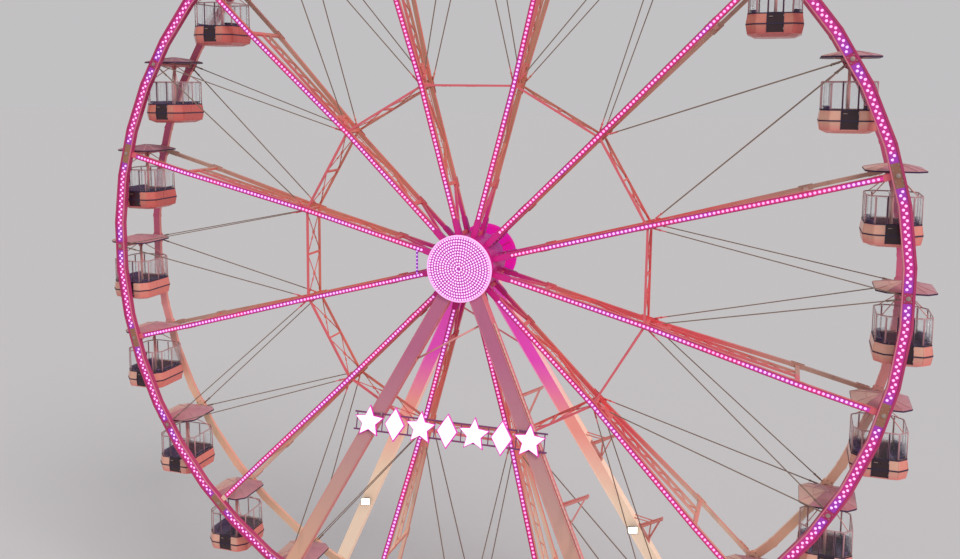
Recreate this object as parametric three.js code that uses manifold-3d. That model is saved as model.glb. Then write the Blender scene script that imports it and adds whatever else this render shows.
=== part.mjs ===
// A transportable giant wheel: twelve forked lattice spokes, two rims, and twenty-four open cabins
// that hang level between the rims, on four raking legs. Millimetres, +Z up, front of the wheel
// towards -Y. The origin is on the ground, below the hub and at the middle of the base.
import * as THREE from "three";
import { mergeVertices } from "three/addons/utils/BufferGeometryUtils.js";
import Module from "manifold-3d";

const wasm = await Module();
wasm.setup();

// Driving dimensions
const GAP = 0.3; // between pieces that touch
const OVERLAP = 20; // how far joined members run into each other
const HUB_HEIGHT = 18600;
const SPOKES = 12;
const CABINS = 24;
const RIM_RADIUS = 15000; // middle of the rim section, and the circle of the cabin pivots
const RIM_SIDES = 48;
const RIM_FACE_Y = 1130; // inner face of each rim, from the wheel's middle plane
const FRONT_RIM_DEEP = 400; // radially: the front rim carries the lights
const FRONT_RIM_THICK = 200; // along the axle
const REAR_RIM_DEEP = 300;
const REAR_RIM_THICK = 140;

const HUB_APOTHEM = 1100; // a twelve-sided drum, one side to each spoke
const HUB_HALF_WIDE = 800;
const AXLE_RADIUS = 240;
const AXLE_SIDES = 24;
const AXLE_FRONT = 1320; // the axle reaches further back than forward
const AXLE_REAR = 1880;
const DISC_RADIUS = 1250;
const DISC_THICK = 120;

const FRONT_CHORD_WIDE = 200; // tangentially: the front chords carry the lights
const REAR_CHORD_WIDE = 140;
const CHORD_DEEP = 150; // along the axle
const CHORD_Y_INNER = 500; // from the hub to the middle joint
const CHORD_Y_TIE = 1130; // at the outer tie
const CHORD_Y_RIM = 1200;
const TIE_INNER_R = 3100;
const LACING_TURN_R = 4700; // where the lacing beyond the inner tie meets the rear chord
const MID_JOINT_R = 6920;
const CROSS_R = 7680;
const TIE_OUTER_R = 12250;
const WEB_THICK = 90; // tangentially
const TIE_WIDE = 150; // radially
const LACING = 70; // width of a lacing bar in the web
const GIRDER_Y = 230; // middle of each bar of the outer girder
const GIRDER_BAR = 80;

const BRACE_R = 6890;
const BRACE_TUBE = 80; // the paired tubes between neighbouring middle joints
const STAY_SIDE = 34; // thickness of a stay cable
const STAY_START_R = 6960;
const STAY_START_ASIDE = 50; // from the middle of the chord
const STAY_ANCHOR = 70; // from the middle of a cabin pivot to the end of a stay on the rim

const CABIN_HALF_X = 900; // the cabin's plan is a rectangle with its four corners cut
const CABIN_HALF_Y = 1000;
const CABIN_CORNER_CUT = 300;
const CABIN_SIDES = 8;
// Cabin profile: the share of the full plan, and the height from the pivot
const TUB_BOTTOM = [0.73, -2360];
const TUB_BILGE = [0.945, -2250];
const TUB_WIDEST = [1, -1950];
const TUB_TOP = [0.95, -1600];
const SCREEN_FOOT = [0.93, -1600];
const SCREEN_TOP = [0.93, -700];
const INNER_TOP = [0.9, -700];
const INNER_RIM = [0.9, -1600];
const INNER_WIDEST = [0.95, -1950];
const INNER_BILGE = [0.89, -2230];
const FLOOR_EDGE = [0.7, -2290];
const CANOPY_EDGE_LOW = [1.03, 60];
const CANOPY_EDGE_HIGH = [1.03, 110];
const CANOPY_SHOULDER = [0.5, 235];
const CANOPY_TOP = [0, 320];
const POST_RADIUS = 50;
const POST_SIDES = 4;
const PIVOT_RADIUS = 60;
const PIVOT_SIDES = 6;
const HANGER_FOOT = 0.915; // share of the full plan, at the middle of a cut corner
const HANGER_HEAD = 40; // from the post to the head of a hanging rod, along X and along Y
const HANGER = 40; // side of a hanging rod

const LEG_WIDE = 560; // level section of a leg, along X and along Y
const LEG_DEEP = 415;
const LEG_TOP_DROP = 1000; // below the hub
const LEG_TOP_X = 570;
const LEG_TOP_Y = 1054;
const LEG_RAKE_X = 0.511; // sideways run for each unit of drop
const LEG_RAKE_Y = 0.272;
const HEAD_DEEP = 440;
const HEAD_TOP = 460;
const HEAD_TOP_HALF = 380;
const BEARING_GAP = 0.6;

const SILL_HIGH = 320;
const SILL_WIDE = 560;
const SILL_OVERHANG = 700;

const SIGN_SHAPES = 7; // stars and diamonds by turns
const SIGN_HALF_LONG = 3700;
const SIGN_DROP = 5740; // middle of the sign below the hub
const SIGN_STAR_RADIUS = 620;
const SIGN_STAR_WAIST = 290;
const SIGN_DIAMOND_WIDE = 400;
const SIGN_DIAMOND_HIGH = 630;
const SIGN_THICK = 90;
const SIGN_RAIL = 70;
const SIGN_RAIL_SPACING = 640;

const DECK_HALF_LONG = 4600;
const DECK_HALF_WIDE = 2500;
const DECK_TOP = 700;
const DECK_THICK = 60;
const JOIST_WIDE = 160;
const JOIST_INNER = 1500; // middles of the joists, clear of the stairs
const JOIST_OUTER = DECK_HALF_LONG - JOIST_WIDE;
const RAILING_HIGH = 1050;
const RAILING_TUBE = 50;
const STAIR_HALF_WIDE = 900;
const STAIR_STEPS = 4; // the top one is level with the deck
const STAIR_GOING = 300;

// Materials
const paint = (color, roughness, metalness) =>
  new THREE.MeshStandardMaterial({ color, roughness, metalness });
const WHITE_STEEL = paint(0xe6dccb, 0.45, 0.2);
const MAGENTA_STEEL = paint(0xb0357f, 0.45, 0.2);
const LEG_STEEL = paint(0x9a8792, 0.5, 0.2);
const CABIN_SHELL = paint(0xefe6da, 0.4, 0);
const LIT_WHITE = paint(0xffffff, 0.3, 0);
const DECK_PLATE = paint(0x8d8f92, 0.6, 0.5);

// Solids: a three.js geometry becomes a manifold for joining and cutting
function toSolid(geometry) {
  const bare = new THREE.BufferGeometry();
  bare.setAttribute("position", geometry.getAttribute("position"));
  bare.setIndex(geometry.index);
  const merged = mergeVertices(bare, 1e-3);
  const index = merged.index.array;
  const kept = [];
  for (let i = 0; i < index.length; i += 3) {
    const [a, b, c] = [index[i], index[i + 1], index[i + 2]];
    if (a !== b && b !== c && a !== c) kept.push(a, b, c);
  }
  const mesh = new wasm.Mesh({
    numProp: 3,
    vertProperties: merged.attributes.position.array,
    triVerts: new Uint32Array(kept),
  });
  return new wasm.Manifold(mesh);
}

function join(...geometries) {
  return geometries.map(toSolid).reduce((sum, next) => sum.add(next));
}

function cut(geometry, holes) {
  return holes.map(toSolid).reduce((left, hole) => left.subtract(hole), toSolid(geometry));
}

function toGeometry(solid) {
  const mesh = solid.getMesh();
  const geometry = new THREE.BufferGeometry();
  const positions = new THREE.BufferAttribute(new Float32Array(mesh.vertProperties), 3);
  geometry.setAttribute("position", positions);
  geometry.setIndex(new THREE.BufferAttribute(new Uint32Array(mesh.triVerts), 1));
  geometry.computeVertexNormals();
  return geometry;
}

// A bar from p to q whose ends are cut along the vectors wide and deep
function bar(p, q, wide, deep) {
  const along = new THREE.Vector3().subVectors(q, p);
  const middle = new THREE.Vector3().addVectors(p, q).multiplyScalar(0.5);
  const matrix = new THREE.Matrix4().makeBasis(wide, deep, along).setPosition(middle);
  const geometry = new THREE.BoxGeometry(1, 1, 1).applyMatrix4(matrix);
  if (matrix.determinant() < 0) geometry.index.array.reverse();
  return geometry;
}

const vec = (x, y, z) => new THREE.Vector3(x, y, z);

function box(low, high) {
  const size = vec(high[0] - low[0], high[1] - low[1], high[2] - low[2]);
  const geometry = new THREE.BoxGeometry(size.x, size.y, size.z);
  return geometry.translate(low[0] + size.x / 2, low[1] + size.y / 2, low[2] + size.z / 2);
}

const shapeOf = (points) => new THREE.Shape(points.map(([x, y]) => new THREE.Vector2(x, y)));

function slab(points, holes, thick) {
  const shape = shapeOf(points);
  shape.holes = holes.map(shapeOf);
  const geometry = new THREE.ExtrudeGeometry(shape, { depth: thick, bevelEnabled: false });
  return geometry.translate(0, 0, -thick / 2);
}

// A regular polygon, with its first corner half a side past angle zero unless start says otherwise
function polygon(apothem, sides, start = 0.5) {
  const corner = apothem / Math.cos(Math.PI / sides);
  return Array.from({ length: sides }, (_, i) => {
    const angle = ((i + start) * 2 * Math.PI) / sides;
    return [corner * Math.cos(angle), corner * Math.sin(angle)];
  });
}

function roundAlongY(apothem, sides, yLow, yHigh, bore = 0) {
  const holes = bore ? [polygon(bore, sides)] : [];
  const geometry = slab(polygon(apothem, sides), holes, yHigh - yLow).rotateX(Math.PI / 2);
  return geometry.translate(0, (yLow + yHigh) / 2, 0);
}

// A turned form about +Z with a flat side facing each axis
function turned(profile, sides) {
  const points = profile.map(([r, z]) => new THREE.Vector2(r, z));
  return new THREE.LatheGeometry(points, sides, Math.PI / sides).rotateX(Math.PI / 2);
}

const part = new THREE.Group();
const wheel = new THREE.Group();
wheel.position.z = HUB_HEIGHT;
part.add(wheel);

function addNode(name, geometry, material, parent = part) {
  const mesh = new THREE.Mesh(geometry, material);
  mesh.name = name;
  parent.add(mesh);
  return mesh;
}

// Rims
const FRONT_RIM_INNER = RIM_RADIUS - FRONT_RIM_DEEP / 2;
const REAR_RIM_INNER = RIM_RADIUS - REAR_RIM_DEEP / 2;
for (const [name, side, inner, thick, material] of [
  ["front_rim", -1, FRONT_RIM_INNER, FRONT_RIM_THICK, MAGENTA_STEEL],
  ["rear_rim", 1, REAR_RIM_INNER, REAR_RIM_THICK, WHITE_STEEL],
]) {
  const near = side * RIM_FACE_Y;
  const far = side * (RIM_FACE_Y + thick);
  const outer = 2 * RIM_RADIUS - inner;
  const ring = roundAlongY(outer, RIM_SIDES, Math.min(near, far), Math.max(near, far), inner);
  addNode(name, toGeometry(toSolid(ring)), material, wheel);
}

// Hub: a twelve-sided drum on its axle, with a round light disc on each end
addNode(
  "hub_drum",
  toGeometry(
    join(
      roundAlongY(HUB_APOTHEM, SPOKES, -HUB_HALF_WIDE, HUB_HALF_WIDE),
      roundAlongY(AXLE_RADIUS, AXLE_SIDES, -AXLE_FRONT, AXLE_REAR),
    ),
  ),
  WHITE_STEEL,
  wheel,
).rotation.y = -Math.PI / SPOKES;

for (const [name, side, axleEnd] of [
  ["front_light_disc", -1, AXLE_FRONT],
  ["rear_light_disc", 1, AXLE_REAR],
]) {
  const near = side * (axleEnd + GAP);
  const far = near + side * DISC_THICK;
  const disc = roundAlongY(DISC_RADIUS, AXLE_SIDES, Math.min(near, far), Math.max(near, far));
  addNode(name, disc, MAGENTA_STEEL, wheel);
}

// A spoke lies along +X in its own frame: X is radial and Z is tangential
function chordShape(side) {
  const half = CHORD_DEEP / 2;
  const rim = side < 0 ? FRONT_RIM_INNER : REAR_RIM_INNER;
  const line = [
    [HUB_APOTHEM + GAP, CHORD_Y_INNER],
    [MID_JOINT_R, CHORD_Y_INNER],
    [TIE_OUTER_R, CHORD_Y_TIE],
    [rim - GAP, CHORD_Y_RIM],
  ];
  const inner = line.map(([r, y]) => [r, side * (y - half)]);
  const outer = line.map(([r, y]) => [r, side * (y + half)]).reverse();
  return [...inner, ...outer];
}

function spokeWeb() {
  const reach = CHORD_Y_INNER;
  const clear = CHORD_Y_INNER - CHORD_DEEP / 2 + 20;
  const halfTie = TIE_WIDE / 2;
  const start = HUB_APOTHEM + GAP;
  const crossReach = CHORD_Y_INNER + CHORD_DEEP / 2;
  const outline = [
    [start, -reach],
    [MID_JOINT_R, -reach],
    [CROSS_R, -crossReach],
    [TIE_OUTER_R + halfTie, -CHORD_Y_TIE],
    [TIE_OUTER_R + halfTie, CHORD_Y_TIE],
    [CROSS_R, crossReach],
    [MID_JOINT_R, reach],
    [start, reach],
  ];
  const holes = [];
  // Inner panel, laced by one diagonal
  const low = start + TIE_WIDE;
  const high = TIE_INNER_R - halfTie;
  holes.push([
    [low, clear],
    [low, LACING - clear],
    [high - LACING, clear],
  ]);
  holes.push([
    [high, -clear],
    [high, clear - LACING],
    [low + LACING, -clear],
  ]);
  // Middle panel, laced by a pair of diagonals that meet at the rear chord
  const first = TIE_INNER_R + halfTie;
  const last = MID_JOINT_R - halfTie;
  holes.push([
    [first + LACING, -clear],
    [last - LACING, -clear],
    [LACING_TURN_R, clear - LACING],
  ]);
  holes.push([
    [first, clear],
    [first, LACING - clear],
    [LACING_TURN_R - LACING, clear],
  ]);
  holes.push([
    [LACING_TURN_R + LACING, clear],
    [last, clear],
    [last, LACING - clear],
  ]);
  // Throat between the middle joint and the cross-piece, on both sides of its gusset
  for (const side of [-1, 1]) {
    holes.push([
      [MID_JOINT_R + halfTie, side * (LACING / 2)],
      [MID_JOINT_R + halfTie, side * clear],
      [CROSS_R - halfTie, side * clear],
      [CROSS_R - halfTie, side * GIRDER_Y],
    ]);
  }
  // Outer bays on both sides of the girder and between its bars
  const bay = [CROSS_R + halfTie, TIE_OUTER_R - halfTie];
  const inside = GIRDER_Y - GIRDER_BAR / 2;
  const outside = GIRDER_Y + GIRDER_BAR / 2;
  holes.push([
    [bay[0], -inside],
    [bay[1], -inside],
    [bay[1], inside],
    [bay[0], inside],
  ]);
  const chordAt = (r) =>
    CHORD_Y_INNER +
    ((CHORD_Y_TIE - CHORD_Y_INNER) * (r - MID_JOINT_R)) / (TIE_OUTER_R - MID_JOINT_R);
  for (const side of [-1, 1]) {
    holes.push([
      [bay[0], side * outside],
      [bay[1], side * outside],
      [bay[1], side * (chordAt(bay[1]) - CHORD_DEEP / 2 + 20)],
      [bay[0], side * (chordAt(bay[0]) - CHORD_DEEP / 2 + 20)],
    ]);
  }
  const cutters = holes.map((hole) => slab(hole, [], 2 * WEB_THICK));
  return toGeometry(cut(slab(outline, [], WEB_THICK), cutters));
}

// Stays run from the middle joint to the rims at the neighbouring cabin pivots
function stay(side, turn) {
  const angle = (turn * 2 * Math.PI) / CABINS;
  const radial = vec(Math.cos(angle), 0, Math.sin(angle));
  const tangent = vec(-Math.sin(angle), 0, Math.cos(angle));
  const from = vec(STAY_START_R, side * CHORD_Y_INNER, turn * STAY_START_ASIDE);
  const rim = side < 0 ? FRONT_RIM_INNER : REAR_RIM_INNER;
  const to = radial.multiplyScalar(rim - GAP).setY(side * CHORD_Y_RIM);
  to.addScaledVector(tangent, -turn * STAY_ANCHOR);
  return bar(from, to, tangent.multiplyScalar(STAY_SIDE), vec(0, STAY_SIDE, 0));
}

// The ring brace closes the bay to the next spoke at the middle joints
function ringBrace() {
  const step = (2 * Math.PI) / SPOKES;
  const radial = vec(Math.cos(step), 0, Math.sin(step));
  const tangent = vec(-Math.sin(step), 0, Math.cos(step));
  const from = vec(BRACE_R, 0, 0);
  const next = radial.clone().multiplyScalar(BRACE_R);
  const end = radial.clone().multiplyScalar(BRACE_TUBE);
  const tubes = [
    [-1, FRONT_CHORD_WIDE],
    [1, REAR_CHORD_WIDE],
  ].map(([side, chordWide]) => {
    const offset = vec(0, side * CHORD_Y_INNER, 0);
    const to = next.clone().addScaledVector(tangent, -chordWide / 2 - GAP);
    return bar(from.clone().add(offset), to.add(offset), end, vec(0, BRACE_TUBE, 0));
  });
  const middle = from.clone().add(next).multiplyScalar(0.5);
  const reach = vec(0, CHORD_Y_INNER, 0);
  const square = next.clone().sub(from).normalize();
  const across = vec(square.z, 0, -square.x);
  const strut = bar(
    middle.clone().sub(reach),
    middle.clone().add(reach),
    square.multiplyScalar(LACING),
    across.multiplyScalar(LACING),
  );
  return [...tubes, strut];
}

const spokeGeometry = toGeometry(
  join(
    slab(chordShape(-1).reverse(), [], FRONT_CHORD_WIDE),
    slab(chordShape(1), [], REAR_CHORD_WIDE),
    spokeWeb(),
    stay(-1, -1),
    stay(-1, 1),
    stay(1, -1),
    stay(1, 1),
    ...ringBrace(),
  ),
);
for (let i = 0; i < SPOKES; i += 1) {
  const number = String(i + 1).padStart(2, "0");
  const spoke = addNode(`spoke_${number}`, spokeGeometry, WHITE_STEEL, wheel);
  spoke.rotation.y = -((i + 0.5) * 2 * Math.PI) / SPOKES;
}

// A turned form whose round plan becomes the cabin's: its radii are shares of the full plan
function cabinTurned(profile) {
  const geometry = turned(profile, CABIN_SIDES);
  const position = geometry.getAttribute("position");
  for (let i = 0; i < position.count; i += 1) {
    const [x, y] = [position.getX(i), position.getY(i)];
    const share = Math.hypot(x, y);
    const long = Math.abs(x) > Math.abs(y);
    const planX = long ? CABIN_HALF_X : CABIN_HALF_X - CABIN_CORNER_CUT;
    const planY = long ? CABIN_HALF_Y - CABIN_CORNER_CUT : CABIN_HALF_Y;
    position.setX(i, Math.sign(x) * share * planX);
    position.setY(i, Math.sign(y) * share * planY);
  }
  return geometry;
}

// A cabin in its own frame, with the pivot at the origin
function cabinSolid() {
  const floorTop = FLOOR_EDGE[1];
  const shell = cabinTurned([
    [0, TUB_BOTTOM[1]],
    TUB_BOTTOM,
    TUB_BILGE,
    TUB_WIDEST,
    TUB_TOP,
    SCREEN_FOOT,
    SCREEN_TOP,
    INNER_TOP,
    INNER_RIM,
    INNER_WIDEST,
    INNER_BILGE,
    FLOOR_EDGE,
    [0, floorTop],
  ]);
  const canopy = cabinTurned([
    [0, CANOPY_EDGE_LOW[1]],
    CANOPY_EDGE_LOW,
    CANOPY_EDGE_HIGH,
    CANOPY_SHOULDER,
    CANOPY_TOP,
  ]);
  const post = turned(
    [
      [0, floorTop - OVERLAP],
      [POST_RADIUS, floorTop - OVERLAP],
      [POST_RADIUS, 0],
      [0, 0],
    ],
    POST_SIDES,
  );
  const end = RIM_FACE_Y - GAP;
  const pivot = roundAlongY(PIVOT_RADIUS, PIVOT_SIDES, -end, end);
  const footX = HANGER_FOOT * (CABIN_HALF_X - CABIN_CORNER_CUT / 2);
  const footY = HANGER_FOOT * (CABIN_HALF_Y - CABIN_CORNER_CUT / 2);
  const hangers = [];
  for (const sx of [-1, 1]) {
    for (const sy of [-1, 1]) {
      const foot = vec(sx * footX, sy * footY, SCREEN_TOP[1] - OVERLAP);
      const head = vec(sx * HANGER_HEAD, sy * HANGER_HEAD, 0);
      hangers.push(bar(foot, head, vec(HANGER, 0, 0), vec(0, HANGER, 0)));
    }
  }
  return join(shell, canopy, post, pivot, ...hangers);
}

const cabinGeometry = toGeometry(cabinSolid());
for (let i = 0; i < CABINS; i += 1) {
  const number = String(i + 1).padStart(2, "0");
  const angle = (i * 2 * Math.PI) / CABINS;
  const cabin = addNode(`cabin_${number}`, cabinGeometry, CABIN_SHELL, wheel);
  cabin.position.set(RIM_RADIUS * Math.cos(angle), 0, RIM_RADIUS * Math.sin(angle));
}

// Legs rake outwards from the bearing heads down to the sills
const legDrop = HUB_HEIGHT - LEG_TOP_DROP - SILL_HIGH;
const legFootX = LEG_TOP_X + legDrop * LEG_RAKE_X;
const legFootY = LEG_TOP_Y + legDrop * LEG_RAKE_Y;
for (const [end, sy] of [
  ["front", -1],
  ["rear", 1],
]) {
  for (const [hand, sx] of [
    ["left", -1],
    ["right", 1],
  ]) {
    const foot = vec(sx * legFootX, sy * legFootY, SILL_HIGH + GAP);
    const top = vec(sx * LEG_TOP_X, sy * LEG_TOP_Y, HUB_HEIGHT - LEG_TOP_DROP);
    addNode(`${end}_${hand}_leg`, bar(foot, top, vec(LEG_WIDE, 0, 0), vec(0, LEG_DEEP, 0)), LEG_STEEL);
  }
  // Bearing head over the pair, bored for the axle
  const low = GAP - LEG_TOP_DROP;
  const half = LEG_TOP_X + LEG_WIDE / 2;
  const axleCorner = AXLE_RADIUS / Math.cos(Math.PI / AXLE_SIDES);
  const bore = polygon(axleCorner + BEARING_GAP, AXLE_SIDES, 0); // flats face the axle's corners
  const head = slab(
    [
      [-half, low],
      [half, low],
      [half, low + 260],
      [HEAD_TOP_HALF, HEAD_TOP],
      [-HEAD_TOP_HALF, HEAD_TOP],
      [-half, low + 260],
    ],
    [bore],
    HEAD_DEEP,
  ).rotateX(Math.PI / 2);
  const mesh = addNode(`${end}_bearing_head`, head, LEG_STEEL);
  mesh.position.set(0, sy * (LEG_TOP_Y + 20), HUB_HEIGHT);
}

// Base: a sill under each pair of feet, and a cross tie at each end
const sillHalf = legFootX + SILL_OVERHANG;
const sillInner = legFootY - SILL_WIDE / 2;
for (const [end, sy] of [
  ["front", -1],
  ["rear", 1],
]) {
  const y = sy * legFootY;
  const sill = box(
    [-sillHalf, y - SILL_WIDE / 2, 0],
    [sillHalf, y + SILL_WIDE / 2, SILL_HIGH],
  );
  addNode(`${end}_sill`, sill, LEG_STEEL);
}
for (const [hand, sx] of [
  ["left", -1],
  ["right", 1],
]) {
  const x = sx * legFootX;
  const tie = box(
    [x - LEG_WIDE / 2, GAP - sillInner, 0],
    [x + LEG_WIDE / 2, sillInner - GAP, SILL_HIGH],
  );
  addNode(`${hand}_cross_tie`, tie, LEG_STEEL);
}

// Boarding deck on joists that run from sill to sill
const deck = [
  box(
    [-DECK_HALF_LONG, -DECK_HALF_WIDE, DECK_TOP - DECK_THICK],
    [DECK_HALF_LONG, DECK_HALF_WIDE, DECK_TOP],
  ),
];
for (const x of [-JOIST_OUTER, -JOIST_INNER, JOIST_INNER, JOIST_OUTER]) {
  deck.push(
    box(
      [x - JOIST_WIDE / 2, GAP - sillInner, 0],
      [x + JOIST_WIDE / 2, sillInner - GAP, SILL_HIGH],
    ),
    box(
      [x - JOIST_WIDE / 2, -DECK_HALF_WIDE + JOIST_WIDE, SILL_HIGH - 20],
      [x + JOIST_WIDE / 2, DECK_HALF_WIDE - JOIST_WIDE, DECK_TOP - DECK_THICK / 2],
    ),
  );
}
addNode("boarding_deck", toGeometry(join(...deck)), DECK_PLATE);

// Railing along each long side of the deck, open in the middle for the stair
for (const [end, sy] of [
  ["front", -1],
  ["rear", 1],
]) {
  const y = sy * (DECK_HALF_WIDE - RAILING_TUBE);
  for (const [hand, sx] of [
    ["left", -1],
    ["right", 1],
  ]) {
    const near = STAIR_HALF_WIDE + RAILING_TUBE;
    const far = DECK_HALF_LONG - RAILING_TUBE;
    const rail = (z) =>
      bar(
        vec(sx * near, y, z),
        vec(sx * far, y, z),
        vec(0, RAILING_TUBE, 0),
        vec(0, 0, RAILING_TUBE),
      );
    const posts = [0, 1, 2].map((k) => {
      const x = sx * (near + ((far - near) * k) / 2);
      return box(
        [x - RAILING_TUBE / 2, y - RAILING_TUBE / 2, DECK_TOP + GAP],
        [x + RAILING_TUBE / 2, y + RAILING_TUBE / 2, DECK_TOP + RAILING_HIGH],
      );
    });
    const railing = join(
      rail(DECK_TOP + RAILING_HIGH - RAILING_TUBE / 2),
      rail(DECK_TOP + RAILING_HIGH / 2),
      ...posts,
    );
    addNode(`${end}_${hand}_railing`, toGeometry(railing), WHITE_STEEL);
  }
  // Stair up to the deck
  const rise = DECK_TOP / STAIR_STEPS;
  const profile = [[0, 0]];
  for (let k = STAIR_STEPS; k > 0; k -= 1) {
    profile.push([(STAIR_STEPS - k) * STAIR_GOING, k * rise]);
    profile.push([(STAIR_STEPS - k + 1) * STAIR_GOING, k * rise]);
  }
  profile.push([STAIR_STEPS * STAIR_GOING, 0]);
  const stair = slab(profile.reverse(), [], 2 * STAIR_HALF_WIDE);
  stair.rotateX(Math.PI / 2).rotateZ(-Math.PI / 2);
  const mesh = addNode(`${end}_stair`, stair, DECK_PLATE);
  mesh.rotation.z = sy > 0 ? Math.PI : 0;
  mesh.position.y = sy * (DECK_HALF_WIDE + GAP);
}

// Sign: a row of plain stars and diamonds on two rails, fixed across the front legs
function starPoints(x) {
  return Array.from({ length: 10 }, (_, k) => {
    const angle = Math.PI / 2 + (k * Math.PI) / 5;
    const radius = k % 2 ? SIGN_STAR_WAIST : SIGN_STAR_RADIUS;
    return [x + radius * Math.cos(angle), radius * Math.sin(angle)];
  });
}
function diamondPoints(x) {
  return [
    [x + SIGN_DIAMOND_WIDE, 0],
    [x, SIGN_DIAMOND_HIGH],
    [x - SIGN_DIAMOND_WIDE, 0],
    [x, -SIGN_DIAMOND_HIGH],
  ];
}
const signPieces = [];
for (let k = 0; k < SIGN_SHAPES; k += 1) {
  const pitch = (2 * (SIGN_HALF_LONG - SIGN_STAR_RADIUS)) / (SIGN_SHAPES - 1);
  const x = -SIGN_HALF_LONG + SIGN_STAR_RADIUS + k * pitch;
  signPieces.push(slab(k % 2 ? diamondPoints(x) : starPoints(x), [], SIGN_THICK));
}
const railBack = -SIGN_THICK / 2 - SIGN_RAIL + OVERLAP;
for (const z of [-SIGN_RAIL_SPACING / 2, SIGN_RAIL_SPACING / 2]) {
  signPieces.push(
    box(
      [-SIGN_HALF_LONG, z - SIGN_RAIL / 2, railBack],
      [SIGN_HALF_LONG, z + SIGN_RAIL / 2, railBack + SIGN_RAIL],
    ),
  );
}
// Both rails lie on the legs' front faces, which lean back with height
const sign = addNode("sign", toGeometry(join(...signPieces)), LIT_WHITE);
const signTilt = Math.atan(LEG_RAKE_Y);
sign.rotation.x = Math.PI / 2 - signTilt;
const legFrontY = -(LEG_TOP_Y + (SIGN_DROP - LEG_TOP_DROP) * LEG_RAKE_Y + LEG_DEEP / 2);
const signStandoff = (GAP - railBack) / Math.cos(signTilt);
sign.position.set(0, legFrontY - signStandoff, HUB_HEIGHT - SIGN_DROP);

export default part;
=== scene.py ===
"""A transportable giant wheel dressed over its CAD frame. Metres, Z up, front towards -Y."""
from functools import partial
from math import atan, cos, pi, radians, sin

import bpy
from mathutils import Matrix, Vector


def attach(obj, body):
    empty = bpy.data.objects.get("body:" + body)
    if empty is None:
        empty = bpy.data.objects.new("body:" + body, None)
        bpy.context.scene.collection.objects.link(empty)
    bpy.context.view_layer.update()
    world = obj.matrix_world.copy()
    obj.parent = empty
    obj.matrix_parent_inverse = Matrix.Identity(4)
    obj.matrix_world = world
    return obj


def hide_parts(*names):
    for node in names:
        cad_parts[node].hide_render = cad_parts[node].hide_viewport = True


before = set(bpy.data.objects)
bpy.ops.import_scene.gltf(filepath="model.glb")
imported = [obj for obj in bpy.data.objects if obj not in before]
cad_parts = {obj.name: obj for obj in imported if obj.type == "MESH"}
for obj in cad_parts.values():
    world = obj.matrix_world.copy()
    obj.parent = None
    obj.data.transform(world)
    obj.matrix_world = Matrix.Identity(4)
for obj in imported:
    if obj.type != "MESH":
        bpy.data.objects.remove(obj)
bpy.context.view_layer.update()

# Sizes repeated from the CAD source
HUB_Z = 18.6
RIM_R = 15.0
RIM_FRONT = -1.33
RIM_HALF = 0.20
REAR_RIM_Y = 1.13, 1.27
STEP = radians(7.5)
SPOKE_ANGLES = [radians(15 + 30 * i) for i in range(12)]
CABIN_ANGLES = [radians(15 * i) for i in range(24)]
MID_R, CROSS_R, TIE_R, TIE_INNER_R = 6.92, 7.68, 12.25, 3.1
CHORD_HALF = 0.075
CHORD_Y, CHORD_Y_TIE, CHORD_Y_RIM = 0.50, 1.13, 1.20
CHORD_END_R = 14.8
CHORD_SIDE = {-1: 0.10, 1: 0.07}  # half widths of the front and rear chord
BRACE_R, STAY_R = 6.89, 6.96
HALF_X, HALF_Y, CORNER = 0.90, 1.00, 0.30
LEG_TOP_X, LEG_TOP_Y, LEG_TOP_DROP = 0.570, 1.054, 1.0
LEG_RAKE_X, LEG_RAKE_Y = 0.511, 0.272
LEG_HALF_X, LEG_HALF_Y = 0.28, 0.2075
SILL_TOP = 0.32
DECK_X, DECK_Y, DECK_TOP = 4.6, 2.5, 0.70
BOTH = (-1, 1)


# Materials
def node(nt, kind, inputs={}, **settings):
    """A new node. An input is linked where its value is a socket, and set otherwise."""
    n = nt.nodes.new("ShaderNode" + kind)
    for key, value in settings.items():
        setattr(n, key, value)
    for key, value in inputs.items():
        if hasattr(value, "links"):
            nt.links.new(value, n.inputs[key])
        else:
            n.inputs[key].default_value = value
    return n


def shader(name, color, rough=0.5, metal=0.0):
    m = bpy.data.materials.new(name)
    m.use_nodes = True
    b = m.node_tree.nodes["Principled BSDF"]
    for key, value in (("Base Color", (*color, 1)), ("Roughness", rough), ("Metallic", metal)):
        b.inputs[key].default_value = value
    return m, m.node_tree, b


def mapped(nt, stretch, place=(0, 0, 0), angle=0.0):
    """The piece's own coordinates, moved, turned about Z and scaled."""
    own = node(nt, "TexCoord").outputs["Object"]
    inputs = {"Vector": own, "Scale": stretch, "Location": place, "Rotation": (0, 0, angle)}
    return node(nt, "Mapping", inputs).outputs["Vector"]


def noise(nt, scale, detail=4, stretch=(1, 1, 1), seed=0.0):
    vector = mapped(nt, stretch, (seed, seed * 1.7, seed * 0.6))
    return node(nt, "TexNoise", {"Vector": vector, "Scale": scale, "Detail": detail}).outputs["Fac"]


def ramp(nt, fac, *stops):
    r = node(nt, "ValToRGB", {"Fac": fac})
    for stop, (position, color) in zip(r.color_ramp.elements, stops):
        stop.position = position
        stop.color = (*color, 1)
    return r.outputs["Color"]


def mix(nt, fac, a, b):
    a, b = ((*v, 1) if isinstance(v, tuple) else v for v in (a, b))
    return node(nt, "Mix", {"Factor": fac, "A": a, "B": b}, data_type="RGBA").outputs["Result"]


def remap(nt, value, low, high, to_low=0.0, to_high=1.0):
    inputs = {"Value": value, "From Min": low, "From Max": high, "To Min": to_low, "To Max": to_high}
    return node(nt, "MapRange", inputs).outputs["Result"]


def bump(nt, b, height, strength, distance):
    n = node(nt, "Bump", {"Height": height, "Strength": strength, "Distance": distance})
    nt.links.new(n.outputs["Normal"], b.inputs["Normal"])


def calc(nt, operation, a, b=0.0):
    return node(nt, "Math", {0: a, 1: b}, operation=operation).outputs[0]


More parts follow.
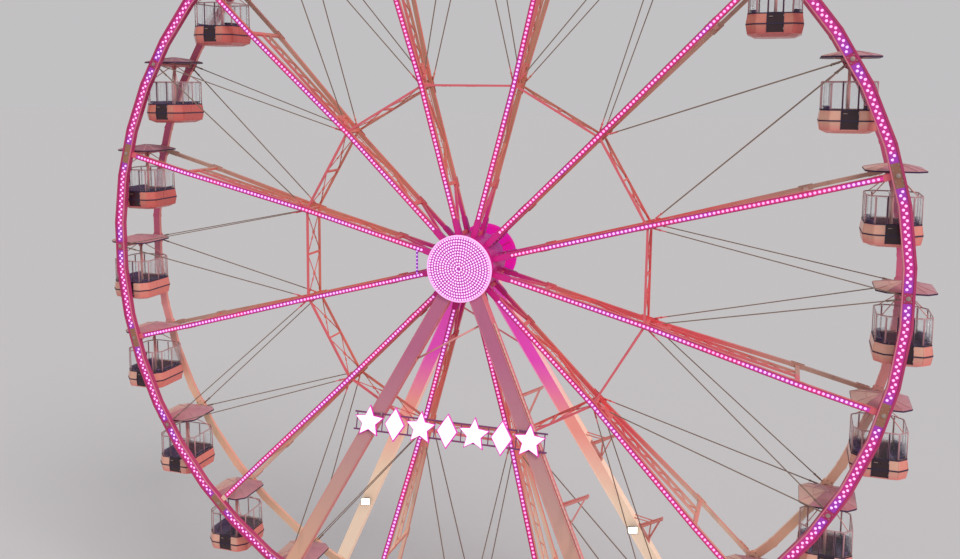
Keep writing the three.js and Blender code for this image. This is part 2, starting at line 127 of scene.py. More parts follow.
def where(nt, kind):
    """A piece's own X, Y or Z, or its radius on the wheel, its angle or its place aside of a spoke."""
    own = node(nt, "TexCoord").outputs["Object"]
    place = node(nt, "SeparateXYZ", {"Vector": own}).outputs
    if kind in ("X", "Y", "Z"):
        return place[kind]
    up = calc(nt, "SUBTRACT", place["Z"], HUB_Z)
    if kind == "angle":
        return calc(nt, "ARCTAN2", up, place["X"])
    squares = [calc(nt, "MULTIPLY", v, v) for v in (place["X"], up)]
    radius = calc(nt, "SQRT", calc(nt, "ADD", *squares))
    if kind == "radius":
        return radius
    # How far a point beyond the middle joints lies sideways from the nearest spoke
    half_step = radians(15)
    turn = calc(nt, "SUBTRACT", calc(nt, "ARCTAN2", up, place["X"]), half_step)
    aside = calc(nt, "MULTIPLY", radius, calc(nt, "PINGPONG", turn, half_step))
    return calc(nt, "MULTIPLY", aside, calc(nt, "GREATER_THAN", radius, MID_R + 0.2))


def painted(name, color, other, rough=0.45, metal=0.15, scale=0.55, grime=(0.16, 0.10, 0.09), amount=0.35,
            painted_side_light=None, turn=(0.15, 0.85), tints=(), cable=None, lit=0.0):
    """Weathered paint: two tones in broad patches, streaks of grime that run down, specks and orange peel.
    Each tint is a place, a colour, and where it starts and is full. The side tone is painted light: the
    tone of faces that look towards +X, between the two shares in turn. Cable is the stays' colour. Lit is
    painted floodlight: the paint glows in its own colour."""
    m, nt, b = shader(name, color, rough, metal)
    col = ramp(nt, noise(nt, scale, 3), (0.38, color), (0.62, other))
    for kind, tint, start, full in tints:
        col = mix(nt, remap(nt, where(nt, kind), start, full), col, tint)
    # Painted light: faces turned one way take the side tone
    if painted_side_light:
        normal = node(nt, "NewGeometry").outputs["Normal"]
        side = node(nt, "SeparateXYZ", {"Vector": normal}).outputs["X"]
        col = mix(nt, remap(nt, side, *turn, 0.0, 0.8), col, painted_side_light)
    if cable:
        col = mix(nt, remap(nt, where(nt, "aside"), 0.30, 0.34), col, cable)
    streak = remap(nt, noise(nt, 2.2, 6, (1, 1, 0.12), 3.1), 0.56, 0.80, 0.0, amount)
    col = mix(nt, streak, col, grime)
    speck = remap(nt, noise(nt, 38, 3, (1, 1, 1), 5.3), 0.66, 0.74, 0.0, amount * 0.8)
    col = mix(nt, speck, col, tuple(c * 0.5 for c in grime))
    nt.links.new(col, b.inputs["Base Color"])
    # Painted floodlight: the paint glows in its own colour
    if lit:
        nt.links.new(col, b.inputs["Emission Color"])
        b.inputs["Emission Strength"].default_value = lit
    patchy = noise(nt, 5, 4, (1, 1, 1), 1.2)
    nt.links.new(remap(nt, patchy, 0.3, 0.7, rough - 0.1, rough + 0.14), b.inputs["Roughness"])
    bump(nt, b, noise(nt, 120, 2), 0.12, 0.002)
    return m


def glowing(name, color, glow, strength, rough=0.3, patches=None, zones=None):
    """A lit surface. Zones are a place, and a second colour and glow that take turns with the first."""
    m, nt, b = shader(name, color, rough)
    b.inputs["Emission Color"].default_value = (*glow, 1)
    b.inputs["Emission Strength"].default_value = strength
    if patches:
        nt.links.new(ramp(nt, noise(nt, 3.0, 2), (0.35, color), (0.65, patches)), b.inputs["Base Color"])
    if zones:
        kind, second_color, second_glow = zones
        if kind == "angle":
            wave = calc(nt, "COSINE", calc(nt, "MULTIPLY", where(nt, kind), len(CABIN_ANGLES)))
            wander = calc(nt, "MULTIPLY", noise(nt, 0.7, 2), 1.2)
            turn = remap(nt, calc(nt, "ADD", wave, wander), 0.75, 1.25)
        else:
            turn = remap(nt, noise(nt, 0.5, 2), 0.47, 0.55)
        nt.links.new(mix(nt, turn, color, second_color), b.inputs["Base Color"])
        nt.links.new(mix(nt, turn, glow, second_glow), b.inputs["Emission Color"])
    bump(nt, b, noise(nt, 60, 2), 0.08, 0.001)
    return m


# Painted light and shade on the spokes: the side tone, the red tint on the wheel's right, the dark tint at
# the top, the cream tint low down and the magenta glow near the hub
STEEL = painted("coral_steel", (0.76, 0.25, 0.17), (0.84, 0.20, 0.16), painted_side_light=(0.88, 0.16, 0.13),
                cable=(0.25, 0.17, 0.13), tints=(
                    ("X", (0.86, 0.11, 0.13), 1.0, 5.0), ("Z", (0.58, 0.25, 0.17), 19.5, 25.0),
                    ("radius", (0.60, 0.36, 0.28), 9.0, 12.5), ("Y", (0.84, 0.16, 0.20), 0.1, -0.45),
                    ("Z", (0.96, 0.68, 0.52), 12.5, 8.5), ("radius", (0.74, 0.02, 0.30), 3.6, 1.9)))
# Painted light and shade on the rear rim, its plates and the leg ties: the side tone, a faint floodlight
# glow, and cream low down turning magenta and then dark towards the top
REAR_STEEL = painted("sand_steel", (0.92, 0.64, 0.43), (0.90, 0.54, 0.38), scale=0.35,
                     painted_side_light=(0.88, 0.34, 0.27), lit=0.06, tints=(("Z", (0.66, 0.12, 0.28), 11.0, 20.0),
                                                               ("Z", (0.42, 0.07, 0.14), 20.0, 26.0)))
ROSE_STEEL = painted("rose_steel", (0.54, 0.035, 0.16), (0.60, 0.06, 0.18), grime=(0.14, 0.01, 0.10))
HOT_STEEL = painted("hub_steel", (0.66, 0.01, 0.26), (0.50, 0.01, 0.34), grime=(0.16, 0.0, 0.12),
                    amount=0.25)
# Painted light: faces turned towards +X take a red side tone
LEG_PAINT = painted("mauve_leg_paint", (0.64, 0.36, 0.32), (0.60, 0.34, 0.32), scale=0.4, amount=0.25,
                    painted_side_light=(0.92, 0.28, 0.28), tints=(("Z", (0.56, 0.16, 0.29), 11.0, 15.5),
                                                    ("Z", (0.82, 0.46, 0.30), 11.0, 7.0)))
# Painted floodlight on the rear legs: the pale cream tone, the glow and the side tone; higher up the paint
# turns salmon and then magenta
REAR_LEG_PAINT = painted("rose_leg_paint", (0.97, 0.80, 0.62), (0.97, 0.76, 0.56), scale=0.4, amount=0.12,
                         painted_side_light=(0.97, 0.66, 0.50), lit=0.30, tints=(("Z", (0.96, 0.40, 0.34), 8.5, 11.5),
                                                                   ("Z", (0.90, 0.10, 0.66), 12.0, 14.5)))
OUTRIGGER_PAINT = painted("outrigger_paint", (0.74, 0.26, 0.24), (0.78, 0.30, 0.26), amount=0.2)
TUB_LOOK = {"rough": 0.3, "metal": 0.0, "scale": 1.4, "amount": 0.2, "turn": (0.25, 0.8)}
# Painted light: the tub's facets turned towards +X take a coral side tone
SHELL = painted("cabin_laminate", (0.82, 0.46, 0.34), (0.83, 0.40, 0.31), painted_side_light=(0.84, 0.20, 0.17),
                tints=(("Z", (0.84, 0.30, 0.26), -2.0, -2.25),), **TUB_LOOK)
# Painted shade: a darker copy of the cabin laminate for the cabins high on the wheel; its side tone is
# painted light
SHADED_SHELL = painted("shaded_laminate", (0.70, 0.25, 0.18), (0.67, 0.20, 0.16), painted_side_light=(0.68, 0.11, 0.10),
                     tints=(("Z", (0.62, 0.14, 0.13), -2.0, -2.25),), **TUB_LOOK)
# Painted light: posts and rods turned towards +X take a pink side tone
CABIN_STEEL = painted("cabin_steel", (0.78, 0.46, 0.40), (0.80, 0.40, 0.37), amount=0.15,
                      painted_side_light=(0.86, 0.28, 0.30))
BRONZE = painted("pivot_plate_paint", (0.42, 0.20, 0.11), (0.36, 0.13, 0.10), amount=0.3)
PALE_ROSE = painted("pale_rose_paint", (0.80, 0.20, 0.30), (0.84, 0.26, 0.34), grime=(0.3, 0.05, 0.12),
                    amount=0.2)
ROOF_LOOK = {"rough": 0.38, "metal": 0.0, "scale": 1.1, "amount": 0.22}
# Painted light: the canopy's slopes that face -X take a peach side tone
CANOPY = painted("canopy_laminate", (0.54, 0.22, 0.27), (0.60, 0.26, 0.30), painted_side_light=(0.84, 0.54, 0.42),
                 turn=(-0.03, -0.13), **ROOF_LOOK)
# Painted shade: a darker copy of the canopy for the cabins high on the wheel
SHADED_CANOPY = painted("shaded_canopy", (0.30, 0.08, 0.13), (0.36, 0.11, 0.16), **ROOF_LOOK)
RIB = painted("canopy_rib_paint", (0.56, 0.30, 0.34), (0.62, 0.34, 0.34), 0.35, 0.1, amount=0.15)
TRIM = painted("dark_trim", (0.025, 0.012, 0.05), (0.05, 0.015, 0.07), 0.5, 0.0, grime=(0.10, 0.06, 0.09),
               amount=0.2)
# Painted shadow: the door leaf is near black
DOOR = painted("door_panel", (0.03, 0.010, 0.016), (0.05, 0.014, 0.02), 0.35, 0.0, grime=(0.10, 0.04, 0.05),
               amount=0.2)
# Painted shade: a dark sheet inside the tubs and under the canopies
SHADE_LINING = painted("painted_shade_lining", (0.13, 0.04, 0.08), (0.17, 0.05, 0.09), 0.5, 0.0, amount=0.1)
SEAT = painted("bench_laminate", (0.07, 0.025, 0.13), (0.11, 0.035, 0.17), 0.35, 0.0, 2.0, (0.2, 0.12, 0.2),
               0.15)
GALV = painted("galvanised_steel", (0.42, 0.33, 0.30), (0.50, 0.38, 0.34), 0.42, 0.6, 3.0, amount=0.15)
RUBBER = painted("rubber_pad", (0.025, 0.024, 0.025), (0.05, 0.048, 0.045), 0.8, 0.0,
                 grime=(0.2, 0.18, 0.16), amount=0.3)
SIGN_STEEL = painted("sign_rail_paint", (0.20, 0.05, 0.17), (0.26, 0.07, 0.19), grime=(0.08, 0.02, 0.08),
                     amount=0.2)
LAMP = glowing("lamp_lens", (0.95, 0.38, 0.66), (1.0, 0.36, 0.70), 0.90,
               zones=("patch", (0.84, 0.44, 0.90), (0.86, 0.44, 0.98)))
# Painted lamp light: the spokes' channels that hold the lamps glow
CHANNEL = glowing("lit_channel", (0.60, 0.03, 0.24), (0.78, 0.03, 0.34), 0.34, 0.4,
                  zones=("patch", (0.48, 0.035, 0.36), (0.64, 0.05, 0.52)))
RIM_LAMP = glowing("rim_lamp_lens", (0.95, 0.42, 0.74), (1.0, 0.42, 0.80), 0.90,
                   zones=("angle", (0.82, 0.48, 0.90), (0.84, 0.48, 0.98)))
# Painted lamp light: the rim's channel that holds the lamps glows
RIM_CHANNEL = glowing("rim_channel", (0.46, 0.022, 0.21), (0.62, 0.03, 0.32), 0.28, 0.4,
                      zones=("angle", (0.30, 0.03, 0.34), (0.46, 0.05, 0.58)))
# Painted lamp light: the hub strut's channel glows violet
VIOLET = glowing("violet_channel", (0.20, 0.02, 0.36), (0.32, 0.03, 0.60), 0.35, 0.4)
DISC_LAMP = glowing("disc_lens", (1.0, 0.66, 0.95), (1.0, 0.52, 0.92), 0.85)
DISC_FACE = glowing("disc_face", (0.46, 0.06, 0.42), (0.62, 0.10, 0.56), 0.28, 0.4, (0.40, 0.04, 0.38))
DISC_RIM = glowing("disc_rim", (0.95, 0.48, 0.86), (0.95, 0.45, 0.88), 0.45, 0.35)
REAR_GLOW = glowing("rear_disc_face", (0.36, 0.001, 0.15), (0.62, 0.0, 0.28), 0.75, 0.6,
                    (0.24, 0.002, 0.26))
SIGN_FACE = glowing("sign_face", (1.0, 0.82, 0.96), (1.0, 0.78, 0.96), 0.8, 0.25)
SIGN_EDGE = glowing("sign_return", (0.60, 0.02, 0.36), (0.75, 0.02, 0.50), 0.45, 0.35)
FLOOD = glowing("flood_lens", (1.0, 0.96, 0.82), (1.0, 0.92, 0.70), 5.0, 0.2)


def tread(name):
    """Aluminium plate with raised bars in two directions."""
    m, nt, b = shader(name, (0.42, 0.40, 0.41), 0.45, 0.7)
    heights = []
    for angle in (45, -45):
        cell = mapped(nt, (14, 40, 1), angle=radians(angle))
        grid = node(nt, "TexVoronoi", {"Vector": cell, "Scale": 1.0, "Randomness": 0.0})
        heights.append(remap(nt, grid.outputs["Distance"], 0.15, 0.3, 1.0, 0.0))
    bars = calc(nt, "MAXIMUM", *heights)
    wear = ramp(nt, noise(nt, 1.3, 5), (0.35, (0.30, 0.28, 0.29)), (0.65, (0.50, 0.48, 0.48)))
    nt.links.new(mix(nt, bars, wear, (0.58, 0.56, 0.56)), b.inputs["Base Color"])
    bump(nt, b, bars, 0.5, 0.004)
    return m


def clear_sheet(name):
    """Clear screens with faint smears."""
    m, nt, b = shader(name, (0.90, 0.93, 0.95), 0.06)
    for key, value in (("IOR", 1.12), ("Transmission Weight", 0.92), ("Alpha", 0.34)):
        b.inputs[key].default_value = value
    nt.links.new(remap(nt, noise(nt, 6, 5, (1, 1, 0.3)), 0.4, 0.75, 0.04, 0.10), b.inputs["Roughness"])
    return m


PLATE = tread("tread_plate")
CLEAR = clear_sheet("clear_screen")


# Mesh building
class Form:
    """Collects faces with materials and becomes one mesh."""

    def __init__(self):
        self.verts, self.faces, self.slots, self.smooth, self.mats = [], [], [], [], []

    def add(self, shape, mat, smooth=False):
        verts, faces = shape
        if mat not in self.mats:
            self.mats.append(mat)
        n = len(self.verts)
        self.verts.extend(verts)
        self.faces.extend([i + n for i in face] for face in faces)
        self.slots.extend([self.mats.index(mat)] * len(faces))
        self.smooth.extend([smooth] * len(faces))

    def bolts(self, points, normal, r, h):
        for p in points:
            self.add(bolt(p, normal, r, h), GALV)

    def mesh(self, name):
        me = bpy.data.meshes.new(name)
        me.from_pydata([tuple(p) for p in self.verts], [], self.faces)
        for mat in self.mats:
            me.materials.append(mat)
        me.polygons.foreach_set("material_index", self.slots)
        me.polygons.foreach_set("use_smooth", self.smooth)
        me.update()
        return me

    def piece(self, name, body, slot, replaces=()):
        place(self.mesh(name), name, body, slot, replaces)


def new_object(name, data):
    o = bpy.data.objects.new(name, data)
    bpy.context.scene.collection.objects.link(o)
    return o


def place(me, name, body, slot, replaces=(), at=(0, 0, 0)):
    o = new_object(name, me)
    o.location = at
    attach(o, body)
    if replaces:
        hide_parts(*replaces)


def V(*p):
    return Vector(p)


RIGHT, BACK, UP = V(1, 0, 0), V(0, 1, 0), V(0, 0, 1)
OUT = -BACK
SQUARE = ((-1, -1), (-1, 1), (1, 1), (1, -1))


def basis(axis, hint=None):
    a = axis.normalized()
    h = hint if hint is not None else (UP if abs(a.z) < 0.9 else RIGHT)
    s = (h - a * h.dot(a)).normalized()
    return a, s, a.cross(s)


def round_ring(center, s, t, r, n):
    """A ring of n points about center, in the plane of s and t."""
    turns = [2 * pi * k / n for k in range(n)]
    return [center + (s * cos(a) + t * sin(a)) * r for a in turns]


def loft(rings, cap=True):
    """Faces between rings of points, each ring the same length."""
    n, count = len(rings[0]), len(rings)
    faces = []
    for a in range(0, (count - 1) * n, n):
        faces.extend((a + i, a + (i + 1) % n, a + n + (i + 1) % n, a + n + i) for i in range(n))
    if cap:
        faces.append(tuple(reversed(range(n))))
        faces.append(tuple(range((count - 1) * n, count * n)))
    return [p for r in rings for p in r], faces


def beam(p, q, wide, deep, side=None, chamfer=0.12):
    """A straight bar with bevelled long edges; side is the direction of its width."""
    a, s, t = basis(q - p, side)
    c = min(wide, deep) * chamfer
    w, d = wide / 2, deep / 2
    half = ((w, c - d), (w, d - c), (w - c, d), (c - w, d))
    outline = half + tuple((-x, -y) for x, y in half)
    return loft([[o + s * x + t * y for x, y in outline] for o in (p, q)])


def bar(center, half, *section):
    """A beam that reaches by half to either side of its centre."""
    return beam(center - half, center + half, *section)


def tube(points, r, n=10):
    """A round bar through the points; r is one radius, or one for each point."""
    rings, hint = [], None
    for i, p in enumerate(points):
        along = points[min(i + 1, len(points) - 1)] - points[max(i - 1, 0)]
        a, hint, t = basis(along, hint)
        rings.append(round_ring(p, hint, t, r[i] if isinstance(r, list) else r, n))
    return loft(rings)


def turned(center, axis, profile, n=24, hint=None):
    """A round form about axis: profile is (radius, height along the axis)."""
    a, s, t = basis(axis, hint)
    return loft([round_ring(center + a * h, s, t, r, n) for r, h in profile])


def dome(center, normal, r, h, n=8):
    """A lamp lens: a short collar and a rounded cap, open at its back."""
    a, s, t = basis(normal)
    steps = ((r, 0), (r * 0.92, h * 0.55), (r * 0.55, h * 0.92))
    verts, faces = loft([round_ring(center + a * up, s, t, rad, n) for rad, up in steps], cap=False)
    return verts, faces + [tuple(range(2 * n, 3 * n))]


def bolt(center, normal, r, h):
    """A washer and a six-sided head."""
    washer, head = ((r * 1.5, 0), (r * 1.5, h * 0.2)), ((r, h * 0.2), (r, h * 0.85), (r * 0.8, h))
    return turned(center, normal, washer + head, 6)


def slab(points, normal, thick, chamfer=0.0):
    """A flat plate: points lie in its back plane, and it grows along normal."""
    out = normal.normalized()
    rings = [points, [p + out * (thick - chamfer) for p in points]]
    if chamfer:
        mid = sum(points, V(0, 0, 0)) / len(points)
        rings.append([p + out * thick + (mid - p).normalized() * chamfer for p in points])
    verts, faces = loft(rings)
    if (points[1] - points[0]).cross(points[2] - points[1]).dot(out) < 0:
        faces = [tuple(reversed(face)) for face in faces]
    return verts, faces


def spaced(start, stop, pitch):
    """Places from start up to stop, a pitch apart."""
    while start < stop:
        yield start
        start += pitch


def wheel_at(r, angle, y=0.0, across=0.0):
    """A point on the wheel: radius, angle, place along the axle, and sideways."""
    c, s = cos(angle), sin(angle)
    return V(r * c - across * s, y, HUB_Z + r * s + across * c)


def sideways(angle, hand=1):
    """The unit vector across a radius of the wheel, towards hand."""
    return V(-sin(angle) * hand, 0, cos(angle) * hand)


def rim_at(offset, angle, y):
    """A point on the rim's facets: offset from the middle of its section."""
    return wheel_at((RIM_R + offset) / cos(angle - round(angle / STEP) * STEP), angle, y)


def chord_y(r):
    """How far a spoke's chords lie from the wheel's middle plane at radius r."""
    if r <= MID_R:
        return CHORD_Y
    if r <= TIE_R:
        return CHORD_Y + (CHORD_Y_TIE - CHORD_Y) * (r - MID_R) / (TIE_R - MID_R)
    return CHORD_Y_TIE + (CHORD_Y_RIM - CHORD_Y_TIE) * (r - TIE_R) / (CHORD_END_R - TIE_R)


# CAD nodes that stay in view get the paints
PAINTS = ((ROSE_STEEL, "front_rim"), (REAR_STEEL, "rear_rim"), (HOT_STEEL, "hub_drum"),
          (STEEL, " ".join(f"spoke_{i:02d}" for i in range(1, 13))),
          (LEG_PAINT, "front_left_leg front_right_leg front_bearing_head"),
          (REAR_LEG_PAINT, "rear_left_leg rear_right_leg rear_bearing_head"),
          (LEG_PAINT, "front_sill rear_sill left_cross_tie right_cross_tie"),
          (PLATE, "boarding_deck front_stair rear_stair"),
          (GALV, "front_left_railing front_right_railing rear_left_railing rear_right_railing"))
for paint, names in PAINTS:
    for name in names.split():
        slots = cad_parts[name].data.materials
        slots.clear()
        slots.append(paint)


# Front rim: lamp channel on each facet, two staggered rows of lamps, and a plate at each pivot
CHANNEL_DEEP = 0.012
LAMPS_PER_BAY = 34
ROWS_MID, ROW_OFF = -0.02, 0.042  # where the rows of lamps lie on the rim
RIM_LIPS = ((-RIM_HALF, -RIM_HALF + 0.04, PALE_ROSE), (RIM_HALF - 0.075, RIM_HALF, ROSE_STEEL))
PLATE_THICK = 0.020
PIVOT_CAP = ((0.075, 0), (0.075, 0.02), (0.05, 0.025), (0.045, 0.045), (0.025, 0.05))


def facet(mid, inner, outer, low, high):
    """Corners of a strip on the front rim's facet at mid, between two offsets and two shares of a step."""
    ends = ((inner, low), (outer, low), (outer, high), (inner, high))
    return [wheel_at((RIM_R + o) / cos(u * STEP), mid + u * STEP, RIM_FRONT) for o, u in ends]


def rim_dress():
    f, lamps, r = Form(), Form(), Form()
    for k in range(2 * len(CABIN_ANGLES)):
        clear = 0 if k % 2 else 0.20 if k % 4 else 0.09
        for low, high in ((-0.5, -clear), (clear, 0.5)) if clear else ((-0.5, 0.5),):
            pts = facet(k * STEP, 0.05 - RIM_HALF, RIM_HALF - 0.085, low * 0.9995, high * 0.9995)
            f.add(slab(pts, OUT, CHANNEL_DEEP), RIM_CHANNEL)
        for inner, outer, mat in RIM_LIPS:
            f.add(slab(facet(k * STEP, inner, outer, -0.4998, 0.4998), OUT, 0.034, 0.006), mat)
    count = len(CABIN_ANGLES) * LAMPS_PER_BAY
    for i in range(count):
        a = (i + 0.5) * 2 * pi / count
        turn = a / (2 * STEP)
        near = round(turn)
        # No lamps on the plates
        if abs(turn - near) >= (0.112 if near % 2 else 0.046):
            offset = ROWS_MID + (ROW_OFF if i % 2 else -ROW_OFF)
            lamps.add(dome(rim_at(offset, a, RIM_FRONT - CHANNEL_DEEP), OUT, 0.046, 0.024), RIM_LAMP, True)
    for i, a in enumerate(CABIN_ANGLES):
        half = 0.40 if i % 2 else 0.13
        pts = [wheel_at(RIM_R - 0.015 + (RIM_HALF - 0.06) * o, a, RIM_FRONT, half * c) for o, c in SQUARE]
        f.add(slab(pts, OUT, PLATE_THICK, 0.004), BRONZE if i % 2 else ROSE_STEEL)
        face = RIM_FRONT - PLATE_THICK
        f.add(turned(wheel_at(RIM_R, a, face), OUT, PIVOT_CAP, 20), GALV)
        rows = (-half * 0.85, -half * 0.45, half * 0.45, half * 0.85) if i % 2 else (-0.10, 0.10)
        f.bolts([wheel_at(RIM_R + o, a, face, c) for o in (-0.11, 0.09) for c in rows], OUT, 0.016, 0.018)
    f.piece("front_rim_channel", "wheel", "magenta_steel")
    lamps.piece("front_rim_lamps", "wheel", "lamp_lens")

    # Plates and splices of the rear rim
    plate = [(-0.19, -0.16), (-0.19, 0.16), (-0.10, 0.30), (0.10, 0.30)]
    plate += [(-o, -c) for o, c in plate]
    seats = ((-0.08, -0.24), (-0.08, 0.24), (0.08, 0.24), (0.08, -0.24), (-0.14, 0), (0.14, 0))
    for a in CABIN_ANGLES:
        for y, out in zip(REAR_RIM_Y, (OUT, BACK)):
            r.add(slab([wheel_at(RIM_R + o, a, y, c) for o, c in plate], out, 0.014, 0.003), REAR_STEEL)
            r.bolts([wheel_at(RIM_R + o, a, y + out.y * 0.014, c) for o, c in seats], out, 0.016, 0.018)
        for s in BOTH:
            for o in (-0.156, 0.156):
                p, q = (rim_at(o, a + s * STEP / 2 + turn, sum(REAR_RIM_Y) / 2) for turn in (-0.004, 0.004))
                r.add(beam(p, q, 0.16, 0.016, BACK), REAR_STEEL)
    r.piece("rear_rim_plates", "wheel", "white_steel")


rim_dress()

# Spokes: lamp channel and lamps on each front chord, joint plates, girder lacing, rods in the ring braces
LED_START, LED_STOP, LAMP_PITCH = 1.85, 14.52, 0.148
# Radius and half length of each joint's plates
JOINTS = ((1.45, 0.22), (TIE_INNER_R, 0.2), (MID_R, 0.32), (TIE_R, 0.24), (14.5, 0.22))
LADDER_Y, LADDER_RUNGS = (-0.17, 0.13), 13
LACING_Y, LACING_BAYS = 0.2, 11
ROD_BOSS = ((0.07, 0), (0.07, 0.02), (0.05, 0.06), (0.0001, 0.061))
STAY_END_R = {-1: 14.8, 1: 14.85}
# Start and end along the stay, and radius, of each part of its two fork ends
FORK_ENDS = ((0.018, 0.045, 0.030), (0.045, 0.051, 0.038), (0.949, 0.955, 0.038), (0.955, 0.985, 0.030))


def chord_at(r, a, end, off=0.0, across=0.0):
    """A point at a spoke's front or rear chord, off its middle line and sideways."""
    return wheel_at(r, a, end * (chord_y(r) + off), across)


def joint_plates(f, a):
    """Bolted plates on the rear chord's outer face and on both sides of each chord."""
    wide = CHORD_SIDE[1] + 0.03
    for r, long in JOINTS:
        pts = [chord_at(r + long * u, a, 1, CHORD_HALF, wide * w) for u, w in SQUARE]
        f.add(slab(pts, BACK, 0.014), STEEL)
        f.bolts([chord_at(r + long * u, a, 1, CHORD_HALF + 0.014, wide * w)
                 for u in (-0.7, -0.25, 0.25, 0.7) for w in (-0.7, 0.7)], BACK, 0.015, 0.016)
        for end, w in SQUARE:
            side, flank, thick = sideways(a, w), w * CHORD_SIDE[end], 0.012
            pts = [chord_at(r + long * u, a, end, 0.05 * d, flank) for u, d in SQUARE]
            f.add(slab(pts, side, thick), STEEL)
            f.bolts([chord_at(r + long * u, a, end, 0, flank + w * thick) for u in (-0.65, 0, 0.65)],
                    side, 0.016, 0.018)


def spoke_dress():
    channel, lamps, f = Form(), Form(), Form()
    for a in SPOKE_ANGLES:
        across = sideways(a)
        stops = (LED_START - 0.05, MID_R, TIE_R, LED_STOP + 0.05)
        for r0, r1 in zip(stops, stops[1:]):
            p, q = (chord_at(r, a, -1, CHORD_HALF) for r in (r0, r1))
            edge = across * 0.062
            channel.add(slab([p - edge, p + edge, q + edge, q - edge], OUT, CHANNEL_DEEP), CHANNEL)
            for e in (-0.082, 0.082):
                lip = across * e + OUT * CHANNEL_DEEP
                channel.add(beam(p + lip, q + lip, 0.034, 0.026, across), ROSE_STEEL)
        for r in spaced(LED_START, LED_STOP, LAMP_PITCH):
            lamps.add(dome(chord_at(r, a, -1, CHORD_HALF + CHANNEL_DEEP), OUT, 0.047, 0.028), LAMP, True)
        joint_plates(f, a)
        # Ladder between the inner tie and the middle joint
        low, high = TIE_INNER_R + 0.10, MID_R - 0.10
        for y in LADDER_Y:
            f.add(beam(wheel_at(low, a, y), wheel_at(high, a, y), 0.03, 0.03, BACK), STEEL)
        for k in range(1, LADDER_RUNGS + 1):
            r = low + (high - low) * k / (LADDER_RUNGS + 1)
            f.add(beam(*(wheel_at(r, a, y) for y in LADDER_Y), 0.026, 0.03, across), STEEL)
        # Zigzag lacing between the girder's bars
        low, high = CROSS_R + 0.12, TIE_R - 0.12
        for i in range(LACING_BAYS):
            y = LACING_Y if i % 2 else -LACING_Y
            p, q = (wheel_at(low + (high - low) * (i + k) / LACING_BAYS, a, y - 2 * y * k) for k in (0, 1))
            f.add(beam(p, q, 0.05, 0.03, across), STEEL)
        # Crossed rods in the ring brace, two panels, each with a boss
        start, stop = wheel_at(BRACE_R, a), wheel_at(BRACE_R, a + radians(30))
        normal = (stop - start).cross(BACK)
        reach = V(0, CHORD_Y - 0.02, 0)
        for near, far in ((0.05, 0.48), (0.52, 0.95)):
            for s in BOTH:
                p, q = start.lerp(stop, near) + reach * s, start.lerp(stop, far) - reach * s
                f.add(tube([p, q], 0.019, 8), STEEL, True)
                f.add(tube([p.lerp(q, 0.62), p.lerp(q, 0.68)], 0.030, 8), STEEL, True)
            mid = start.lerp(stop, (near + far) / 2) - normal.normalized() * 0.03
            f.add(turned(mid, normal, ROD_BOSS, 12), STEEL)
        # Bent gusset at the cross-piece
        outer = CROSS_R + 0.02
        gusset = ((MID_R + 0.03, CHORD_Y - 0.09), (outer, LACING_Y), (outer, CHORD_Y))
        for s in BOTH:
            f.add(slab([wheel_at(r, a, s * y, -0.008) for r, y in gusset], across, 0.016), STEEL)
        # Fork end of each stay at the middle joint and at the rim
        for end, turn in SQUARE:
            start = wheel_at(STAY_R, a, end * CHORD_Y, turn * 0.05)
            stop = wheel_at(STAY_END_R[end], a + turn * radians(15), end * CHORD_Y_RIM, -turn * 0.07)
            for near, far, rad in FORK_ENDS:
                f.add(tube([start.lerp(stop, near), start.lerp(stop, far)], rad), STEEL, True)
    channel.piece("spoke_channels", "wheel", "magenta_steel")
    lamps.piece("spoke_lamps", "wheel", "lamp_lens")
    f.piece("spoke_fittings", "wheel", "white_steel")


spoke_dress()

# Hub: lit front disc with rings of lamps, dim rear disc, flanges, cheek plates and one lit strut
DISC_BACK = -1.3203
DISC_FACE_Y = DISC_BACK - 0.106
DISC_RINGS, RING_PITCH, LAMP_SPACE = 11, 0.104, 0.100
REAR_DISC_Y = 1.8803, 2.0003
DRUM_END, FLANGE_THICK = 0.8, 0.012
STRUT_R = 2.03


def about_axle(y, out, profile, n=96):
    return turned(V(0, y, HUB_Z), out, profile, n, RIGHT)


def rays(f, count, start, inner, outer, y, wide, deep):
    """Bars that run out from the axle."""
    for q in range(count):
        a = 2 * pi * q / count + start
        f.add(beam(wheel_at(inner, a, y), wheel_at(outer, a, y), wide, deep, sideways(a)), ROSE_STEEL)


def lamp_ring(f, mat, count, start, r, y, out, size, high, n=6):
    for i in range(count):
        f.add(dome(wheel_at(r, 2 * pi * i / count + start, y), out, size, high, n), mat, True)


